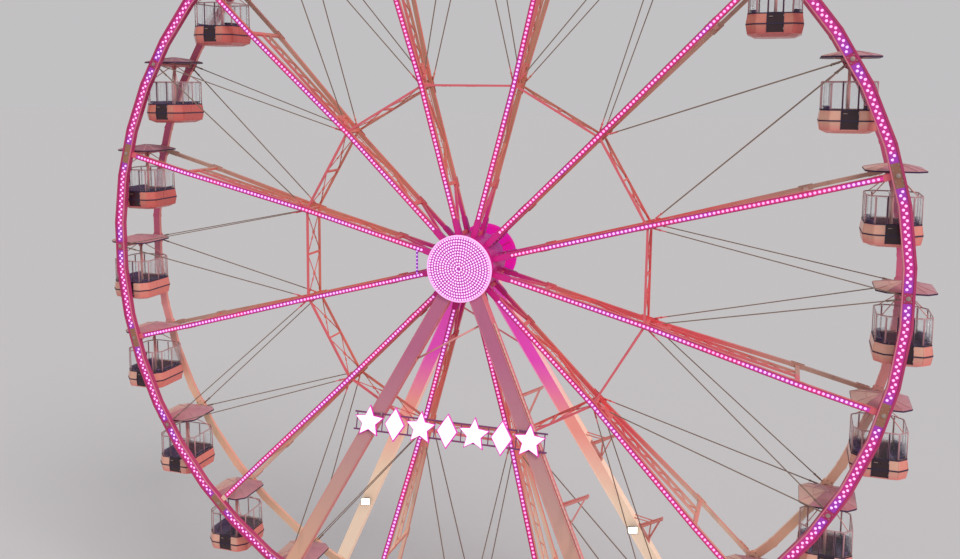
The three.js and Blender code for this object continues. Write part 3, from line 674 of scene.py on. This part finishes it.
def hub_dress():
    ring, face, lens, rear, f, strut = (Form() for _ in range(6))
    edge = ((1.21, 0), (1.25, 0.02), (1.25, 0.10), (1.235, 0.1197), (1.19, 0.1197), (1.185, 0.10),
            (0.0001, 0.10))
    ring.add(about_axle(DISC_BACK, OUT, edge), DISC_RIM)
    face.add(about_axle(DISC_BACK - 0.10, OUT, ((1.185, 0), (1.185, 0.004), (0.0001, 0.006))), DISC_FACE)
    rays(face, 8, radians(1.0), 0.08, 1.17, DISC_FACE_Y, 0.012, 0.006)
    for k in range(1, DISC_RINGS + 1):
        count = round(2 * pi * RING_PITCH * k / LAMP_SPACE)
        start = pi * (k % 2) / count + 0.01
        lamp_ring(lens, DISC_LAMP, count, start, RING_PITCH * k, DISC_FACE_Y, OUT, 0.035, 0.012, 8)
    lamp_ring(lens, DISC_LAMP, 96, 0, 1.2125, DISC_BACK - 0.1185, OUT, 0.020, 0.0012)
    ring.piece("front_disc_ring", "wheel", "magenta_steel", ["front_light_disc"])
    face.piece("front_disc_face", "wheel", "magenta_steel")
    lens.piece("front_disc_lamps", "wheel", "lamp_lens")

    near, far = REAR_DISC_Y
    rear.add(about_axle(near, BACK, ((1.20, 0), (1.25, 0.015), (1.25, 0.105), (1.20, 0.12), (0.30, 0.12),
                                     (0.0001, 0.118))), REAR_GLOW)
    rear.add(about_axle(near + 0.001, OUT, ((1.21, 0), (1.21, 0.012), (1.17, 0.02), (0.26, 0.02),
                                            (0.24, 0.001))), REAR_GLOW)
    rays(rear, 12, 0, 0.26, 1.16, near - 0.03, 0.03, 0.04)
    rear.add(about_axle(near, OUT, ((0.36, 0), (0.36, 0.05), (0.30, 0.07), (0.245, 0.07)), 48), ROSE_STEEL)
    lamp_ring(rear, LAMP, 64, 0, 1.225, far - 0.0025, BACK, 0.017, 0.0022)
    rear.piece("rear_disc", "wheel", "magenta_steel", ["rear_light_disc"])

    flange = ((1.06, 0), (1.06, FLANGE_THICK), (0.98, 0.016), (0.52, 0.016), (0.50, 0.03), (0.34, 0.034),
              (0.30, 0.05))
    for s in BOTH:
        f.add(about_axle(s * DRUM_END, BACK * s, flange, 48), HOT_STEEL)
        turns = [2 * pi * (i + 0.5) / 24 for i in range(24)]
        f.bolts([wheel_at(1.01, a, s * (DRUM_END + FLANGE_THICK)) for a in turns], BACK * s, 0.022, 0.026)
    # Cheek plates where the chords meet the drum
    cheek = ((1.13, -0.11), (1.13, 0.10), (1.75, 0.065), (1.75, -0.065))
    for a in SPOKE_ANGLES:
        for s, w in SQUARE:
            side, flank, thick = sideways(a, w), w * CHORD_SIDE[s], 0.02
            pts = [wheel_at(r, a, s * (CHORD_Y + d), flank) for r, d in cheek]
            f.add(slab(pts, side, thick, 0.004), HOT_STEEL)
            seats = [wheel_at(r, a, s * CHORD_Y, flank + w * thick) for r in (1.25, 1.42, 1.6)]
            f.bolts(seats, side, 0.022, 0.024)
    f.piece("hub_fittings", "wheel", "magenta_steel")

    # The lit strut between the two spokes on the left
    p, q = (wheel_at(STRUT_R, radians(angle), -CHORD_Y - 0.10) for angle in (165, 195))
    strut.add(beam(p.lerp(q, 0.06), q.lerp(p, 0.06), 0.07, 0.03, RIGHT), VIOLET)
    for i in range(7):
        strut.add(dome(p.lerp(q, 0.1 + 0.8 * i / 6) + OUT * 0.015, OUT, 0.026, 0.016), LAMP, True)
    for t in (0.14, 0.86):
        seat = p.lerp(q, t)
        strut.add(beam(seat + BACK * 0.01, seat + V(0.02, 0.09, 0), 0.04, 0.03), ROSE_STEEL)
    strut.piece("lit_ring_strut", "wheel", "magenta_steel")


hub_dress()


# Cabins: one set of meshes for each of two looks, lit and in painted shade, shared by all twenty-four.
# Heights are from the pivot
# The cabins high on the wheel, which take the painted shade
SHADED_CABINS = range(3, 12)
CORNER_ROUND = 0.05
BELLY, WAIST, SILL, PANE_TOP = -2.22, -1.95, -1.60, -0.72
SCREEN_SHARE = 0.93
DOOR_X, DOOR_LOW, DOOR_HIGH = (-0.22, 0.27), -2.235, -1.58
DOOR_SIDE, DOOR_POSTS = 6, (-0.21, 0.26)
PIVOT_FACE = 1.085
LONG_SIDE, SHORT_SIDE = HALF_Y - CORNER, HALF_X - CORNER
OCTAGON = [(HALF_X, -LONG_SIDE), (HALF_X, LONG_SIDE), (SHORT_SIDE, HALF_Y), (-SHORT_SIDE, HALF_Y)]
OCTAGON += [(-x, -y) for x, y in OCTAGON]
# Pairs of a share of the plan and a height
TUB = ((0.60, -2.36), (0.72, -2.36), (0.75, -2.345), (0.93, -2.262), (0.946, -2.245), (0.952, BELLY),
       (0.9925, -1.99), (1.0, WAIST), (0.996, -1.93), (0.958, -1.64), (0.952, -1.605), (0.945, SILL),
       (0.905, SILL), (0.90, -1.61), (0.935, WAIST), (0.89, -2.23), (0.72, -2.29))
CROWN = ((1.0, 0.108), (1.018, 0.112), (0.92, 0.137), (0.75, 0.177), (0.5, 0.236), (0.25, 0.279),
         (0.06, 0.309))
CANOPY_RIB = ((1.005, 0.114), (0.92, 0.139), (0.75, 0.179), (0.5, 0.238), (0.25, 0.281), (0.06, 0.310))
# Share of the plan, height, and how far in from there, from the bench's back down to its foot
BENCH = ((0.895, -1.50, 0.0), (0.885, -1.485, 0.02), (0.875, -1.50, 0.035), (0.865, -1.80, 0.04),
         (0.86, -1.86, 0.02), (0.84, -1.875, 0.16), (0.84, -1.85, 0.34), (0.84, -1.885, 0.37),
         (0.84, -1.92, 0.35), (0.82, -1.92, 0.31), (0.76, -2.28, 0.24))


def corners(share, z):
    return [V(x * share, y * share, z) for x, y in OCTAGON]


def plans(*rows):
    """The cabin's plan at each share and height: a rectangle with cut corners, each slightly rounded."""
    pts = []
    for i, here in enumerate(corners(1, 0)):
        before, after = (V(*OCTAGON[k % 8], 0) for k in (i - 1, i + 1))
        p, q = (here + (near - here).normalized() * CORNER_ROUND for near in (before, after))
        pts.extend([p, (p + q) / 4 + here / 2, q])
    return [[V(p.x * share, p.y * share, z) for p in pts] for share, z in rows]


def band(f, low, high, proud, mat):
    """A strip that goes round the cabin from low to high, standing proud by that much."""
    shares = (low, -0.01), (low, proud / HALF_X), (high, proud / HALF_X), (high, -0.01)
    f.add(loft(plans(*((share + more, z) for (share, z), more in shares)), cap=False), mat)


def tub_front(x, z, lift=0.0):
    """A point on the tub's front wall."""
    slope = 0.048 / (WAIST - BELLY) if z < WAIST else -0.05 / (SILL - WAIST)
    return V(x, -HALF_Y * (1 + slope * (z - WAIST)) - lift, z)


def tub(shell):
    f = Form()
    f.add(loft(plans(*TUB)), shell)
    # Dark rub line, sill trim and bottom skirt
    band(f, (0.999, -1.972), (1.0, -1.930), 0.012, TRIM)
    band(f, (0.952, -1.625), (0.948, -1.590), 0.010, TRIM)
    band(f, (0.944, -2.262), (0.952, -2.228), 0.006, shell)
    # Lining in painted shade inside the tub, floor plate and bottom cross members
    f.add(loft(plans((0.715, -2.281), (0.884, -2.225), (0.929, WAIST), (0.896, -1.612)), cap=False), SHADE_LINING)
    f.add(loft(plans((0.70, -2.289), (0.70, -2.279), (0.68, -2.277))), PLATE)
    for x in (-0.34, 0.34):
        f.add(bar(V(x, 0, -2.335), BACK * 0.66, 0.08, 0.045, RIGHT), GALV)
    # Door leaf in the front facet, its frame, handle and hinges
    left, right = DOOR_X
    leaf = [tub_front(x, z, 0.004) for x, z in ((left, DOOR_LOW), (right, DOOR_LOW), (right, WAIST),
                                                (right, DOOR_HIGH), (left, DOOR_HIGH), (left, WAIST))]
    edges = [(i, i + 6, (i + 1) % 6 + 6, (i + 1) % 6) for i in range(6)]
    # The leaf is near black: painted shadow
    f.add((leaf + [p + BACK * 0.02 for p in leaf], [(0, 1, 2, 5), (5, 2, 3, 4), *edges]), DOOR)
    for x in (left - 0.012, right + 0.012):
        for low, high in ((DOOR_LOW, WAIST), (WAIST, SILL)):
            f.add(beam(tub_front(x, low, 0.006), tub_front(x, high, 0.006), 0.022, 0.022, RIGHT), TRIM)
    f.add(bar(tub_front(left + 0.11, -1.72, 0.03), RIGHT * 0.06, 0.02, 0.02), GALV)
    for z in (-2.12, -1.70):
        f.add(tube([tub_front(right + 0.012, z + dz, 0.022) for dz in (-0.03, 0.03)], 0.012, 8), GALV, True)
    # Panel joints at the corners, just let into the wall
    inset = 0.9985
    for (s0, z0), (s1, z1) in (((0.953, -2.21), (0.999, -1.98)), ((0.998, -1.925), (0.953, -1.64))):
        for p, q in zip(corners(s0 * inset, z0), corners(s1 * inset, z1)):
            f.add(beam(p, q, 0.012, 0.006, UP.cross(p)), shell)
    return f


def pane(screens, bars, p, q):
    """A clear pane with rounded top corners, and a pale bead round it."""
    gap, corner, height, length = 0.022, 0.09, PANE_TOP - SILL, (q - p).length
    along = (q - p).normalized()
    out = along.cross(UP)
    path = [(gap, 0), (length - gap, 0)]
    for center, start in ((length - gap - corner, 0), (gap + corner, pi / 2)):
        for k in range(5):
            t = start + pi / 8 * k
            path.append((center + corner * cos(t), height - corner + corner * sin(t)))
    pts = [p + along * u + UP * w for u, w in path]
    screens.add(slab(pts, out, 0.008), CLEAR)
    bars.add(tube([x + out * 0.004 for x in pts[1:] + pts[:1]], 0.007, 6), RIB, True)


def screens_and_frame():
    screens, f = Form(), Form()
    low = corners(SCREEN_SHARE, SILL)
    post = UP * (PANE_TOP - SILL + 0.02)
    for i, p in enumerate(low):
        q = low[(i + 1) % 8]
        stops = [p, q]
        if i == DOOR_SIDE:
            stops[1:1] = [V(x, p.y, SILL) for x in DOOR_POSTS]
            for foot in stops[1:-1]:
                f.add(beam(foot, foot + post, 0.035, 0.03, RIGHT), TRIM)
        elif i % 2 == 0:
            stops.insert(1, p.lerp(q, 0.5))
            f.add(tube([stops[1], stops[1] + post], 0.012, 8), RIB, True)
        for start, stop in zip(stops, stops[1:]):
            pane(screens, f, start, stop)
        f.add(tube([p - UP * 0.02, p + post], 0.017), RIB, True)
    ring = plans((SCREEN_SHARE, PANE_TOP + 0.02))[0]
    f.add(tube(ring + ring[:1], 0.017, 8), RIB, True)
    # Centre post, pivot beam, gussets and a shallow web out to each pivot
    f.add(tube([UP * -2.30, UP * -0.02], 0.052, 20), CABIN_STEEL, True)
    f.add(turned(UP * -2.29, UP, ((0.16, 0), (0.16, 0.012), (0.07, 0.03), (0.047, 0.06))), GALV)
    f.add(tube([BACK * -1.125, BACK * 1.125], 0.052, 20), CABIN_STEEL, True)
    for s in BOTH:
        face = BACK * s * PIVOT_FACE
        f.add(turned(face, BACK * s, ((0.11, 0), (0.11, 0.02), (0.075, 0.028), (0.07, 0.042))), GALV)
        f.bolts(round_ring(face, RIGHT, UP, 0.09, 6), BACK * -s, 0.011, 0.014)
        long = [V(-0.012, s * y, z) for y, z in ((0.045, -0.27), (0.045, -0.05), (0.24, -0.05))]
        short = [V(s * x, -0.012, z) for x, z in ((0.045, -0.27), (0.045, -0.04), (0.13, -0.04))]
        f.add(slab(long, RIGHT, 0.024), CABIN_STEEL)
        f.add(slab(short, BACK, 0.024), CABIN_STEEL)
        f.add(beam(V(0, s * 0.04, -0.065), V(0, s, -0.045), 0.07, 0.05, RIGHT), CABIN_STEEL)
    # Splayed rods down to the screens, and posts that hold the canopy's edge off the beam
    for x, y in SQUARE:
        low, high = V(x * 0.686, y * 0.777, PANE_TOP + 0.02), V(x * 0.04, y * 0.04, -0.03)
        f.add(tube([high, low], 0.017), CABIN_STEEL, True)
        f.add(turned(low - UP * 0.015, UP, ((0.035, 0), (0.035, 0.02), (0.02, 0.03)), 12), GALV)
        f.add(tube([V(x * 0.03, y * 0.5, 0.03), V(x * 0.55, y * 0.62, 0.072)], 0.014, 8), CABIN_STEEL, True)
    return screens, f


def roof(canopy):
    """Eight panels with a slight crown, ribs, edge trim and an underside lined in painted shade."""
    f = Form()
    f.add(loft(plans(*CROWN), cap=False), canopy)
    f.add(loft(plans((0.07, 0.300), (0.068, 0.314), (0.04, 0.32))), RIB)
    edge = (1.0, 0.062), (1.024, 0.060), (1.03, 0.068), (1.03, 0.102), (1.022, 0.11), (1.0, 0.11)
    f.add(loft(plans(*edge), cap=False), TRIM)
    f.add(loft(plans((1.0, 0.064), (0.90, 0.085), (0.30, 0.10))), SHADE_LINING)
    for rib in zip(*(corners(share, z) for share, z in CANOPY_RIB)):
        f.add(tube(rib, [0.012, 0.014, 0.014, 0.013, 0.012, 0.010], 8), RIB, True)
    hoop = corners(0.5, 0.237)
    for p, q in zip(hoop, hoop[1:] + hoop[:1]):
        f.add(tube([p, q], 0.008, 6), canopy, True)
    return f


def bench_line(hand, share, z, inner):
    """A line along a bench, inside the tub's wall and clear of the doorway."""
    line = [V(*OCTAGON[k], 0) * share for k in (-1, 0, 1, 2)]
    pts = [p.lerp(q, t) for p, q in zip(line, line[1:]) for t in (0.0, 0.34, 0.67)]
    return [V(hand * max(p.x - inner, 0.34), p.y * (1 - inner * 0.35), z) for p in pts[1:]]


def benches():
    """Two moulded benches along the sides, each with seams that split it into places."""
    f = Form()
    for hand in BOTH:
        rows = [bench_line(hand, *row) for row in BENCH]
        n, end = len(rows[0]), len(rows) * len(rows[0])
        faces = [(k, k + 1, k + n + 1, k + n) for k in range(end - n) if (k + 1) % n]
        faces += [tuple(range(0, end, n)), tuple(range(end - 1, 0, -n))]
        f.add((sum(rows, []), faces if hand > 0 else [face[::-1] for face in faces]), SEAT, True)
        for i in (3, 6):
            f.add(tube([row[i] + V(-hand * 0.004, 0, 0.004) for row in rows[2:8]], 0.006, 6), TRIM, True)
    return f


def cabin_meshes(shell, canopy):
    screens, bars = screens_and_frame()
    forms = {"tub": (tub(shell), "cabin_panel"), "screens": (screens, "clear_screen"),
             "frame": (bars, "white_steel"), "canopy": (roof(canopy), "canopy_panel"),
             "benches": (benches(), "bench_seat")}
    return {part: (form.mesh(f"cabin_{part}"), slot) for part, (form, slot) in forms.items()}


# The second set, in painted shade, goes to the cabins high on the wheel
shared = [cabin_meshes(SHELL, CANOPY), cabin_meshes(SHADED_SHELL, SHADED_CANOPY)]
for i, a in enumerate(CABIN_ANGLES):
    name = f"cabin_{i + 1:02d}"
    for part, (me, slot) in shared[i in SHADED_CABINS].items():
        replaces = [name] if part == "tub" else ()
        place(me, f"{name}_{part}", f"{name}_body", slot, replaces, wheel_at(RIM_R, a))


# Legs
SPLICE_DROP = 17.2
# Drop and length of each outrigger, and whether it has extra bars, on the front and rear leg
OUTRIGGERS = {-1: ((4.35, 0.85, False), (7.8, 1.0, False)), 1: ((7.65, 0.97, True), (11.3, 0.97, True))}
TIE_DROPS = {-1: (3.45, 2.05), 1: (2.05, 3.45)}
DUCT_PITCH, CLIP_PITCH = 0.15, 1.5
DUCT_SEGMENT = ((0.0, 0.034), (0.03, 0.046), (0.09, 0.046), (0.12, 0.034))  # how far down, and radius
FLOODLIGHTS = ((-1, "left", 12.0), (1, "right", 11.35))
# Size and depth of the outlines of a floodlight's shell
FLOOD_SHELL = ((0.45, -0.14), (0.9, -0.06), (1.0, 0.0), (1.0, 0.03), (0.9, 0.03), (0.88, 0.015))


def leg_at(end, hand, drop, dx=0.0, dy=0.0):
    """A point on a leg's middle line at a drop below the hub, moved along X and Y."""
    down = drop - LEG_TOP_DROP
    x, y = LEG_TOP_X + down * LEG_RAKE_X, LEG_TOP_Y + down * LEG_RAKE_Y
    return V(hand * x + dx, end * y + dy, HUB_Z - drop)


def outriggers(f, end):
    """Three-cornered arms square to the leg, on the outer side of a right-hand leg."""
    square = V(0.89, 0, 0.455)
    for drop, long, extra in OUTRIGGERS[end]:
        root, low, high = (leg_at(end, 1, drop + more, LEG_HALF_X) for more in (0, 0.62, -0.45))
        tip = root + square * long
        bars = [(root, tip, 0.6, 0.07), (low, tip - square * 0.06, 0.6, 0.05)]
        if extra:
            bars += [(p, root + square * long * share, 0.8, 0.04) for p, share in ((low, 0.5), (high, 0.6))]
        for y in (-0.14, 0.14):
            for p, q, inward, size in bars:
                f.add(beam(p + BACK * y, q + BACK * y * inward, size, size, BACK), OUTRIGGER_PAINT)
        f.add(bar(tip, BACK * 0.12, 0.08, 0.08, square), OUTRIGGER_PAINT)
        pad = [leg_at(end, 1, drop + 0.30 + 0.42 * u, LEG_HALF_X, 0.18 * w) for u, w in SQUARE]
        f.add(slab(pad, RIGHT, 0.014), OUTRIGGER_PAINT)


def leg_fittings(end, hand, paint):
    f = Form()
    leg = partial(leg_at, end, hand)
    along = (leg(2) - leg(1)).normalized()
    # Bolted splice
    for u in (-0.05, 0.05):
        f.add(bar(leg(SPLICE_DROP + u), along * 0.018, 0.66, 0.52, RIGHT, 0.06), paint)
    for k in range(4):
        for s in BOTH:
            for dx, dy in ((s * 0.305, -0.2 + 0.133 * k), (-0.21 + 0.14 * k, s * 0.236)):
                start = leg(SPLICE_DROP + 0.02, dx, dy) - along * 0.05
                f.add(turned(start, along, ((0.02, 0), (0.02, 0.14), (0.012, 0.145)), 8), GALV)
    # Corner edge strips
    for x, y in SQUARE:
        p, q = (leg(drop, x * (LEG_HALF_X - 0.004), y * (LEG_HALF_Y - 0.004)) for drop in (1.05, 18.2))
        f.add(beam(p, q, 0.035, 0.035, RIGHT, 0.3), paint)
    if hand > 0:
        outriggers(f, end)
    # Foot: base plate, stiffeners and anchor bolts
    foot, plate = leg(HUB_Z - SILL_TOP), 0.035
    f.add(slab([foot + V(x * 0.42, y * 0.27, 0) for x, y in SQUARE], UP, plate, 0.008), paint)
    for x in BOTH:
        for y in (-0.12, 0.12):
            low = [foot + V(x * reach, y, plate) for reach in (LEG_HALF_X - 0.02, 0.40)]
            f.add(slab([*low, leg(HUB_Z - SILL_TOP - 0.4, x * LEG_HALF_X, y)], BACK, 0.02), paint)
        f.bolts([foot + V(x * 0.36, y, plate) for y in (-0.22, 0, 0.22)], UP, 0.028, 0.04)
    return f


def duct():
    """A segmented cable duct on clips, down the outer edge of the front-right leg."""
    f, y = Form(), -0.16
    segments = [(drop + u, r) for drop in spaced(1.9, 17.3, DUCT_PITCH) for u, r in DUCT_SEGMENT]
    points = [leg_at(-1, 1, drop, LEG_HALF_X + 0.075, y) for drop, r in segments]
    f.add(tube(points, [r for drop, r in segments]), CABIN_STEEL, True)
    for drop in spaced(2.2, 17.2, CLIP_PITCH):
        p = leg_at(-1, 1, drop, LEG_HALF_X, y)
        f.add(beam(p, p + RIGHT * 0.10, 0.05, 0.03, BACK), GALV)
    return f


def ties_and_plates():
    """A tie between the legs of each pair, and plates on the bearing heads."""
    f = Form()
    for end, paint in ((-1, LEG_PAINT), (1, REAR_LEG_PAINT)):
        ends = [leg_at(end, hand, drop, -hand * LEG_HALF_X) for hand, drop in zip(BOTH, TIE_DROPS[end])]
        f.add(tube(ends, 0.035, 12), REAR_STEEL, True)
        for hand, p in zip(BOTH, ends):
            f.add(beam(p, p + RIGHT * -hand * 0.02, 0.2, 0.16, BACK), REAR_STEEL)
        out, face = BACK * end, end * (LEG_TOP_Y + 0.24)
        collar = ((0.36, 0), (0.36, 0.012), (0.33, 0.02), (0.27, 0.021), (0.262, 0.004))
        f.add(about_axle(face, out, collar, 40), paint)
        turns = [pi / 6 * (k + 0.5) for k in range(12)]
        f.bolts([wheel_at(0.315, a, face + end * 0.02) for a in turns], out, 0.016, 0.004)
        for s in BOTH:
            cheek = ((0.40, 0.95), (0.80, 0.95), (0.80, 0.78), (0.40, 0.30))
            f.add(slab([V(s * x, face, HUB_Z - z) for x, z in cheek], out, 0.016, 0.003), paint)
            seats = ((0.48, 0.88), (0.72, 0.88), (0.48, 0.55), (0.62, 0.72))
            f.bolts([V(s * x, face + end * 0.016, HUB_Z - z) for x, z in seats], out, 0.018, 0.007)
    return f


def floodlight(hand, drop):
    """A floodlight on a rear leg: bracket, shell, lens and cooling fins."""
    f = Form()
    root = leg_at(1, hand, drop, 0, -LEG_HALF_Y)
    center = root + V(0, -0.22, 0.02)
    aim, side, up = basis(V(0.35, -0.9, -0.05), RIGHT)

    def rings(*rows):
        corner = [side * x * 0.21 + up * z * 0.16 for x, z in reversed(SQUARE)]
        return [[center + aim * depth + p * size for p in corner] for size, depth in rows]

    f.add(beam(root, root + OUT * 0.12, 0.08, 0.08, RIGHT), GALV)
    f.add(loft(rings(*FLOOD_SHELL)), TRIM)
    f.add(loft(rings((0.87, 0.014), (0.87, 0.022), (0.8, 0.024))), FLOOD)
    for k in (-0.1, -0.05, 0, 0.05, 0.1):
        f.add(bar(center - aim * 0.18 + side * k, up * 0.08, 0.008, 0.07, side), TRIM)
    return f


for end, end_name, paint in ((-1, "front", LEG_PAINT), (1, "rear", REAR_LEG_PAINT)):
    for hand, hand_name in ((-1, "left"), (1, "right")):
        leg_fittings(end, hand, paint).piece(f"{end_name}_{hand_name}_leg_fittings", "base", "leg_steel")
duct().piece("front_right_duct", "base", "leg_steel")
ties_and_plates().piece("leg_ties_and_bearing_plates", "base", "leg_steel")
for hand, hand_name, drop in FLOODLIGHTS:
    floodlight(hand, drop).piece(f"rear_{hand_name}_floodlight", "base", "lamp_lens")

# Sign: lit faces with a coloured return, on rails across the front legs
SIGN_DROP, SIGN_HALF, SIGN_SHAPES = 5.74, 3.7, 7
STAR_R, STAR_INNER_R = 0.62, 0.29
DIAMOND_W, DIAMOND_H = 0.40, 0.63
RAIL_BACK, RAIL_MID, RAIL_W = -0.095, -0.06, 0.32  # depths of the rails, and their place above and below


def star(x, inset):
    radii = STAR_R - inset * 1.9, STAR_INNER_R - inset * 0.75
    turns = [pi / 2 + j * pi / 5 for j in range(10)]
    return [(x + radii[j % 2] * cos(a), radii[j % 2] * sin(a)) for j, a in enumerate(turns)]


def diamond(x, inset):
    w, h = DIAMOND_W - inset * 1.25, DIAMOND_H - inset * 1.95
    return [(x + w, 0), (x, h), (x - w, 0), (x, -h)]


def sign_dress():
    f = Form()
    tilt = atan(LEG_RAKE_Y)
    up, out = V(0, sin(tilt), cos(tilt)), V(0, -cos(tilt), sin(tilt))
    mid = leg_at(-1, 0, SIGN_DROP, 0, -LEG_HALF_Y - (0.0003 - RAIL_BACK) / cos(tilt))

    def at(x, w, depth):
        return mid + RIGHT * x + up * w + out * depth

    def layers(shape, x, *rows):
        return [[at(u, w, depth) for u, w in shape(x, inset)] for inset, depth in rows]

    for k in range(SIGN_SHAPES):
        x = (SIGN_HALF - STAR_R) * (2 * k / (SIGN_SHAPES - 1) - 1)
        shape = diamond if k % 2 else star
        f.add(loft(layers(shape, x, (0, -0.045), (0, 0.035))), SIGN_EDGE)
        edge = layers(shape, x, (0, 0.035), (0.012, 0.045), (0.03, 0.045), (0.03, 0.036))
        f.add(loft(edge, cap=False), SIGN_EDGE)
        face = layers(shape, x, (0.03, 0.037), (0.045, 0.044))
        f.add(loft(face, cap=False), SIGN_FACE)
        n = len(face[1])
        f.add((face[1] + [at(x, 0, 0.045)], [(i, (i + 1) % n, n) for i in range(n)]), SIGN_FACE)
    for w in (-RAIL_W, RAIL_W):
        f.add(bar(at(0, w, RAIL_MID), RIGHT * SIGN_HALF, 0.06, 0.06, up), SIGN_STEEL)
        for hand in BOTH:
            x = leg_at(-1, hand, SIGN_DROP - w * cos(tilt)).x
            for s in (-0.2, 0.2):
                f.add(bar(at(x + s, w, RAIL_MID), up * 0.06, 0.05, 0.10), GALV)
    for k in range(8):
        x = (SIGN_HALF - 0.1) * (2 * k / 7 - 1)
        f.add(bar(at(x, 0, RAIL_MID + 0.01), up * RAIL_W, 0.035, 0.035), SIGN_STEEL)
    f.piece("sign_shapes", "base", "lit_sign", ["sign"])


sign_dress()

# Base: sill flanges and stiffeners, packing pads, railing infill, stair rails and deck edging
PANEL_X, PANEL_BARS = (0.95, 4.55), 24
STEP_RISE, STEP_RUN = 0.175, 0.3
# Radius of each tube beside the stairs, and its course outward and up
STAIR_RAILS = ((0.021, ((2.45, 1.70), (2.62, 1.70), (3.62, 0.95), (3.66, 0.90), (3.66, 0.02))),
               (0.016, ((2.5, 1.25), (2.62, 1.25), (3.62, 0.5), (3.66, 0.45))),
               (0.018, ((2.9, 0.02), (2.9, 1.50))))


def base_dress():
    sills, rails, deck = Form(), Form(), Form()
    foot = leg_at(1, 1, HUB_Z - SILL_TOP)
    half = foot.x + 0.7
    for s in BOTH:
        y = s * foot.y
        for z in (0.012, SILL_TOP - 0.012):
            sills.add(bar(V(0, y, z), RIGHT * half, 0.56, 0.022, BACK, 0.2), LEG_PAINT)
        for x in spaced(0.4 - half, half, 0.95):
            if abs(abs(x) - foot.x) > 0.5:
                sills.add(bar(V(x, y, 0.16), BACK * 0.279, 0.02, 0.28, RIGHT), LEG_PAINT)
        for h in BOTH:
            pad = [V(h * (foot.x + 0.55) + 0.11 * u, y + 0.24 * w, SILL_TOP) for u, w in SQUARE]
            sills.add(slab(pad, UP, 0.02, 0.005), LEG_PAINT)
        y = s * (DECK_Y - 0.05)
        for h in BOTH:
            start, stop = (V(h * x, y, 0.76) for x in PANEL_X)
            rails.add(beam(start, stop, 0.02, 0.04), GALV)
            for i in range(1, PANEL_BARS):
                if i != PANEL_BARS / 2:
                    p = start.lerp(stop, i / PANEL_BARS)
                    rails.add(tube([V(p.x, y, 0.705), V(p.x, y, 1.73)], 0.009, 6), GALV, True)
            for r, course in STAIR_RAILS:
                rails.add(tube([V(h * 0.93, s * out, up) for out, up in course], r), GALV, True)
        for k in range(4):
            nosing = V(0, s * (2.78 + STEP_RUN * k), DECK_TOP + 0.003 - STEP_RISE * k)
            rails.add(bar(nosing, RIGHT * 0.9, 0.04, 0.012, BACK), TRIM)
        deck.add(bar(V(0, s * (DECK_Y - 0.01), 0.60), RIGHT * DECK_X, 0.02, 0.16, BACK), GALV)
        deck.add(bar(V(s * (DECK_X - 0.01), 0, 0.60), BACK * DECK_Y, 0.02, 0.16, RIGHT), GALV)
    for k in range(1, 8):
        seam = V(DECK_X * (k / 4 - 1), 0, DECK_TOP + 0.0005)
        deck.add(bar(seam, BACK * (DECK_Y - 0.02), 0.014, 0.004, RIGHT), RUBBER)
    sills.piece("sill_stiffeners", "base", "leg_steel")
    rails.piece("railing_infill", "base", "deck_plate")
    deck.piece("deck_edging", "base", "deck_plate")


base_dress()

# Floor, lights and camera
grey = (0.66, 0.65, 0.655)
floor = Form()
floor.add(([V(900 * x, 900 * y, -0.002) for x, y in reversed(SQUARE)], [(0, 1, 2, 3)]),
          painted("floor_plain", grey, grey, rough=0.9, metal=0.0, scale=0.05, amount=0.0))
ground = new_object("floor", floor.mesh("floor"))

world = bpy.data.worlds.new("studio")
world.use_nodes = True
sky = world.node_tree.nodes["Background"].inputs
sky["Color"].default_value = (0.54, 0.53, 0.54, 1)
sky["Strength"].default_value = 1.0
bpy.context.scene.world = world

key = bpy.data.lights.new("key", "SUN")
key.energy = 1.35
key.angle = radians(25)
key.color = (1.0, 0.97, 0.95)
new_object("key", key).rotation_euler = [radians(a) for a in (48, 12, 38)]

CAMERA_AT = (11.317, -34.013, 25.163)
PAN, DIP, ROLL = radians(19.267), radians(7.365), radians(0.101)
lens = bpy.data.cameras.new("photo_camera")
lens.lens = 35.92
lens.sensor_width = 36
lens.sensor_fit = "HORIZONTAL"
lens.shift_x = 0.0242
lens.shift_y = -0.0702
lens.clip_end = 3000
camera = new_object("photo_camera", lens)
aim = Matrix.Rotation(PAN, 4, "Z") @ Matrix.Rotation(pi / 2 - DIP, 4, "X") @ Matrix.Rotation(ROLL, 4, "Z")
camera.matrix_world = Matrix.Translation(CAMERA_AT) @ aim
bpy.context.scene.camera = camera
bpy.context.scene.view_settings.view_transform = "Standard"
